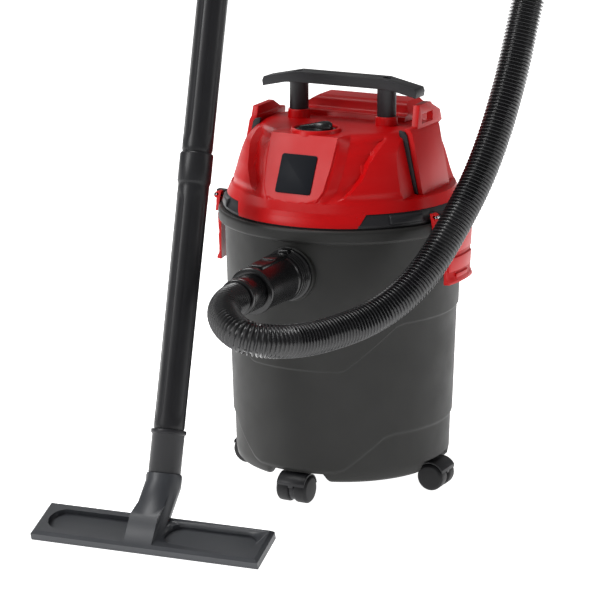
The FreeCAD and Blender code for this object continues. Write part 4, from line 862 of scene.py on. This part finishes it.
class ShopVacHead(bpy.types.Operator):
    """Base ring with its hinge ears, and the red cover over the motor"""

    bl_idname = "shopvac.head"
    bl_label = "Head base and cover"

    def execute(self, context):
        bump = rounded([(143, 360), (143, 370), (147, 371.5), (151.5, 369), (153.5, 360)], 2.5, 3)
        ears = [soften(sector(bump, way * 66, way * 48), 1.2, 40, 2) for way in (-1, 1)]
        piece("head_ring", merged(copied("head_base", 0.8, 32), *ears), "satin_black", "head", ["head_base"])
        self.cover()
        return {"FINISHED"}

    def cover(self):
        """A thin shell: rows of the skirt, the dome and the deck, and the same rows again inside."""
        heights = ([SKIRT_FOOT + i * 1.16 for i in range(12)] + [387.2, 388.6]
                   + [390.4 + i * 2.2 for i in range(27)]
                   + [450, 452, 454, 456, 457.6, 459, 460.2, 461.2, 462, 462.6, 463])
        outside = [(between(DOME, z) if z > CREASE else 141.5, z) for z in heights]
        deck = [(radius, DECK) for radius in (80, 70, 60, 45, 30, 0)]
        inside = [(0, 460.4), (60, 460.4), (90, 460.2), (99, 457.6), (108, 450.6), (118.8, 439.6),
                  (128.4, 416), (135.4, 389), (138.6, 384), (143.2, SKIRT_FOOT)]
        bm = turned(outside + deck + inside, steps=480)
        table = [(SKIRT_FOOT, 141.5), (CREASE, 141.5)] + DOME[1:]
        for v in bm.verts:
            az, radius = azimuth(v.co)
            z = v.co.z
            if radius < 86:
                continue
            outer = radius > between(table, z) - 1.0 or z > 462.9
            if outer:
                az = self.column(az, z)
            low = self.lowered(az, z)
            if z <= CREASE + 0.1:
                new = self.skirt_radius(az, low) - (0 if outer else COVER_WALL)
            elif outer:
                new = self.outer_radius(az, z)
            else:
                new = min(radius, self.outer_radius(az, z) - COVER_WALL)
            set_polar(v.co, az, new)
            v.co.z = low
        bmesh.ops.recalc_face_normals(bm, faces=bm.faces)
        parts = [bm, self.hump(), self.knob_ring(), self.bosses()]
        piece("red_cover", merged(*parts), "red_shell", "head", ["head_cover"], crease=24)

    def lines(self, z):
        """Azimuths of the pad's edge, its side's foot, the ridge and the flat side, at that height."""
        plane, half = pad_plane(z), between(PAD_HALF, z)
        pad = math.degrees(math.atan2(half, plane))
        foot = math.degrees(math.atan2(half + between(PAD_SIDE, z), plane))
        ridge = max(foot + 1.0, between(RIDGE, z))
        flat = side_flat(z) / (between(DOME, z) + 1.4)
        return pad, foot, ridge, max(ridge + 4, min(68, math.degrees(math.asin(min(1, flat)))))

    def column(self, az, z):
        """A column of the mesh moved so that it follows the cover's slanted edges."""
        a = abs(az)
        pad, foot, ridge, flat = self.lines(max(z, 387))
        keys = [(0, 0), (19.5, pad), (20.25, pad + 0.7), (28.5, foot), (42, ridge), (43.5, ridge + 1.4),
                (57, flat), (72, 72), (180, 180)]
        share = ease((z - SKIRT_FOOT) / (CREASE - SKIRT_FOOT))
        return math.copysign(a + (between(keys, a) - a) * share, az)

    def lowered(self, az, z):
        """Rows of the skirt drawn down into the bib at the front."""
        if z > CREASE or abs(az) > 60:
            return z
        foot = between([(32.4, BIB_FOOT), (36.8, SKIRT_FOOT)], abs(az))
        return between([(SKIRT_FOOT, foot), (CREASE, CREASE)], z)

    def skirt_radius(self, az, z):
        """The skirt leans out from the crease to the base ring, and covers it at the bib."""
        bulge = between(CREASE_BULGE, abs(az))
        return between([(BIB_FOOT, 152.4), (361, 151.6), (SKIRT_FOOT, 147), (CREASE, bulge)], z)

    def outer_radius(self, az, z):
        """The dome outside: its pad, the slope beside it, the sunk panel, the ridge and the flat side."""
        a = min(abs(az), 180 - abs(az))
        dome = between(DOME, z)
        fade = max(0.0, 1 - (z - CREASE) / 30) ** 1.6
        new = dome + (between(CREASE_BULGE, abs(az)) - DOME[0][1]) * fade
        if abs(az) < 90:
            pad_az, end_az, ridge, flat_az = self.lines(z)
            high = 1 - ease((z - 450) / 11)
            sunk = 7.0 * ease((z - 388) / 12) * high
            lobe = 2.6 * ease((z - 389) / 9) * high
            panel = new - sunk * (0.3 + 0.7 * min(1, max(0, (a - end_az) / (ridge - end_az))))
            if a <= pad_az:
                new = pad_reach(a, z)
            elif a < end_az:
                edge = pad_reach(pad_az, z)
                t = (a - pad_az) / (end_az - pad_az)
                groove = 1.3 * ease((a - pad_az) / 0.6) * (1 - ease((a - pad_az - 0.8) / 0.8)) * high
                new = edge + (panel - edge) * t - groove
            elif a < ridge:
                new = panel
            else:
                step = ease((a - ridge) / 1.4)
                far = ease((a - flat_az) / 9)
                new = panel + (new + lobe * (1 - far) - panel) * step
        sin = math.sin(math.radians(a))
        if sin > 0.2:
            new = min(new, side_flat(z) / sin)
        return new

    def hump(self):
        """Raised middle of the deck under the carry handle."""
        profile = rounded([(15, 458), (19, 470), (28, 471.5), (33, 483), (38, 486), (74, 486), (84, 478),
                           (100, 477), (116, 446)], 2.5)
        hump = extruded(profile, -76, 76, "X")
        bmesh.ops.bisect_plane(hump, geom=hump.verts[:] + hump.edges[:] + hump.faces[:],
                               plane_co=(0, 0, HUMP_STEP), plane_no=UP)
        for v in hump.verts:
            if v.co.z > HUMP_STEP:
                taper = 0.3 if v.co.x < 0 else 0.08
                v.co.x *= 1 - taper * (v.co.z - HUMP_STEP) / 14
        return soften(hump, 1.6, 40, 3)

    def knob_ring(self):
        """Raised ring round the switch knob."""
        return turned([(26.6, 462.2), (26.6, 466.4), (27.2, 467.4), (29.4, 467.5), (30.6, 466.8), (32.4, 461),
                       (26.6, 461)], 96, "Z", (0, KNOB_MIDDLE, 0))

    def bosses(self):
        """Feet of the carry handle's posts, the outlet's collar and the gland's seat."""
        posts = [turned([(0, 474), (12.8, 474), (13.8, 473.2), (14.4, 461), (0, 461)], 48, "Z", (x, -4, 0))
                 for x in (-61, 61)]
        outlet = turned([(24.2, 100), (24.2, 139.4), (24.8, 140), (27.2, 140), (28, 139.2), (28.6, 100)], 72,
                        "Y", (0, 0, OUTLET_HEIGHT))
        gland = turned([(0, 118), (0, 134), (10, 134), (11, 133), (11.6, 118)], 48, "Y", (-50, 0, 396))
        return merged(*posts, outlet, gland)


class ShopVacWings(bpy.types.Operator):
    """Red side wings with their cable hooks, and a black strip of painted shade in the gap beside each"""

    bl_idname = "shopvac.wings"
    bl_label = "Side wings"

    def execute(self, context):
        for side, way in (("left", -1), ("right", 1)):
            piece("hook_wing_" + side, copied("side_wing_" + side, 1.6, 30, 3), "red_shell", "head",
                  ["side_wing_" + side])
            # A black strip in the gap between wing and cover: painted shade, standing for the shadow in that
            # gap
            line = [(118.2, 387.5), (122.2, 387.5), (106.4, 459.5), (103.5, 463.6), (96, 465.2), (96, 461)]
            gap_shade = soften(extruded([(way * x, z) for x, z in line], -43.2, -39.6, "Y"), 0.7, 30, 2)
            piece("wing_gap_shade_" + side, gap_shade, "satin_black", "head")
        return {"FINISHED"}


class ShopVacCarryHandle(bpy.types.Operator):
    """Carry handle on two posts, with drooping ends"""

    bl_idname = "shopvac.carry_handle"
    bl_label = "Carry handle"

    def execute(self, context):
        piece("carry_bar", copied("carry_handle", 2.0, 35, 4), "satin_black", "head", ["carry_handle"])
        return {"FINISHED"}


class ShopVacKnob(bpy.types.Operator):
    """Switch knob and the blank label"""

    bl_idname = "shopvac.knob"
    bl_label = "Switch knob and label"

    def execute(self, context):
        piece("knob", self.knob(), "gloss_black", "switch", ["switch_knob"])
        plate = soften(extruded(rounded([(-24, 0), (24, 0), (24, 49.5), (-24, 49.5)], 3.2), -1.2, 0, "Y"),
                       0.35, 50, 2)
        low = 395.5
        tilt = Matrix.Rotation(-math.atan(PAD_SLOPE), 4, "X")
        piece("blank_label", plate, "label_black", "head", ["badge_plate"],
              place=Matrix.Translation((0, -pad_plane(low), low)) @ tilt)
        piece("knob_block", copied("switch_block", 0.5), "satin_black", "head", ["switch_block"])
        return {"FINISHED"}

    def knob(self):
        """A disc with a grip that rises from a thin tip to a broad round end, and its shaft."""
        disc = turned([(0, 462.3), (25.6, 462.3), (26, 462.7), (26, 464.8), (25.4, 465.4), (16, 466.8),
                       (0, 466.8)], 72, "Z", (0, KNOB_MIDDLE, 0), closed=False)
        spine = [(-24, 1.6, 1.5), (-21, 2.8, 3.2), (-14, 4.4, 5.2), (-6, 6, 7), (2, 7.6, 9.2), (8, 8.6, 10.8),
                 (13, 8.8, 11.4), (17, 8, 11), (20, 6, 9.4), (22, 3, 6.5)]
        section = [(-1, 0), (-1, 0.55), (-0.86, 0.85), (-0.45, 1), (0.45, 1), (0.86, 0.85), (1, 0.55),
                   (1, 0)]                       # across and up, in half widths and heights
        grip = lofted([[(x, KNOB_MIDDLE + half * y, 464.4 + rise * z) for y, z in section]
                       for x, half, rise in spine])
        shaft = turned([(0, 448.4), (3, 448.4), (3, 463.2), (0, 463.2)], 24, "Z", (0, KNOB_MIDDLE, 0),
                       closed=False)
        return merged(disc, grip, shaft)


class ShopVacLatches(bpy.types.Operator):
    """Two red latches that clip the head to the drum"""

    bl_idname = "shopvac.latches"
    bl_label = "Latches"

    def execute(self, context):
        for side in ("left", "right"):
            middle = 90 if side == "right" else -90
            ribs = [soften(sector([(162.8, low), (164.6, low), (165.6, high - 2), (162.8, high)],
                                  middle - half, middle + half), 0.5, 30, 2)
                    for low, high, half in ((313, 337, 12.6), (290, 309, 11.8), (279, 288, 6))]
            clip = copied("latch_" + side, 0.9, 35, 3)
            for v in clip.verts:                 # the prongs above the pivot lean in towards the head
                if v.co.z > 357:
                    v.co.x *= 1 - 0.45 * (v.co.z - 357) / 160
            piece("clip_" + side, merged(clip, *ribs), "red_shell", "latch_" + side, ["latch_" + side])
        return {"FINISHED"}


class ShopVacBack(bpy.types.Operator):
    """Blower outlet and cable gland at the back"""

    bl_idname = "shopvac.back"
    bl_label = "Blower outlet and gland"

    def execute(self, context):
        piece("outlet_tube", copied("blow_port", 0.8), "satin_black", "head", ["blow_port"])
        piece("gland", copied("cable_gland", 0.7), "satin_black", "head", ["cable_gland"])
        return {"FINISHED"}


# ---------------------------------------------------------------- parts left as packed
class ShopVacFinishes(bpy.types.Operator):
    """Finishes of the parts whose shape is already right"""

    bl_idname = "shopvac.finishes"
    bl_label = "Finishes of inner parts"

    def execute(self, context):
        slots = {row["node"]: row["material_slot"] for row in frame["record"]["subparts"]}
        for name, obj in frame["nodes"].items():
            if obj.hide_render:
                continue
            obj.data.materials.clear()
            obj.data.materials.append(finish_of(slots[name]))
        return {"FINISHED"}


OPERATORS = (
    ShopVacStage, ShopVacHoseMaker, ShopVacTank, ShopVacCasters, ShopVacInlet, ShopVacWandMaker,
    ShopVacNozzle, ShopVacHead, ShopVacWings, ShopVacCarryHandle, ShopVacKnob, ShopVacLatches,
    ShopVacBack, ShopVacFinishes,
)
GROUPS = {"shopvac_drum": ShopVacDrum, "shopvac_hose": ShopVacHose, "shopvac_wand": ShopVacWand,
          "shopvac_colours": ShopVacColours}


class ShopVacPanel(bpy.types.Panel):
    """Sizes, colours and pieces of the vacuum"""

    bl_idname = "VIEW3D_PT_shopvac"
    bl_label = "Shop Vacuum"
    bl_space_type = "VIEW_3D"
    bl_region_type = "UI"
    bl_category = "Shop Vacuum"

    def draw(self, context):
        for name, group in GROUPS.items():
            box = self.layout.box()
            for key in group.__annotations__:
                box.prop(getattr(context.scene, name), key)
        for operator in OPERATORS:
            self.layout.operator(operator.bl_idname)


def register():
    for name, group in GROUPS.items():
        bpy.utils.register_class(group)
        setattr(bpy.types.Scene, name, bpy.props.PointerProperty(type=group))
    for operator in OPERATORS:
        bpy.utils.register_class(operator)
    bpy.utils.register_class(ShopVacPanel)


def unregister():
    bpy.utils.unregister_class(ShopVacPanel)
    for operator in reversed(OPERATORS):
        bpy.utils.unregister_class(operator)
    for name, group in GROUPS.items():
        delattr(bpy.types.Scene, name)
        bpy.utils.unregister_class(group)


def main():
    register()
    for operator in OPERATORS:
        family, name = operator.bl_idname.split(".")
        getattr(getattr(bpy.ops, family), name)()
    bpy.context.view_layer.update()


if __name__ == "__main__":
    main()
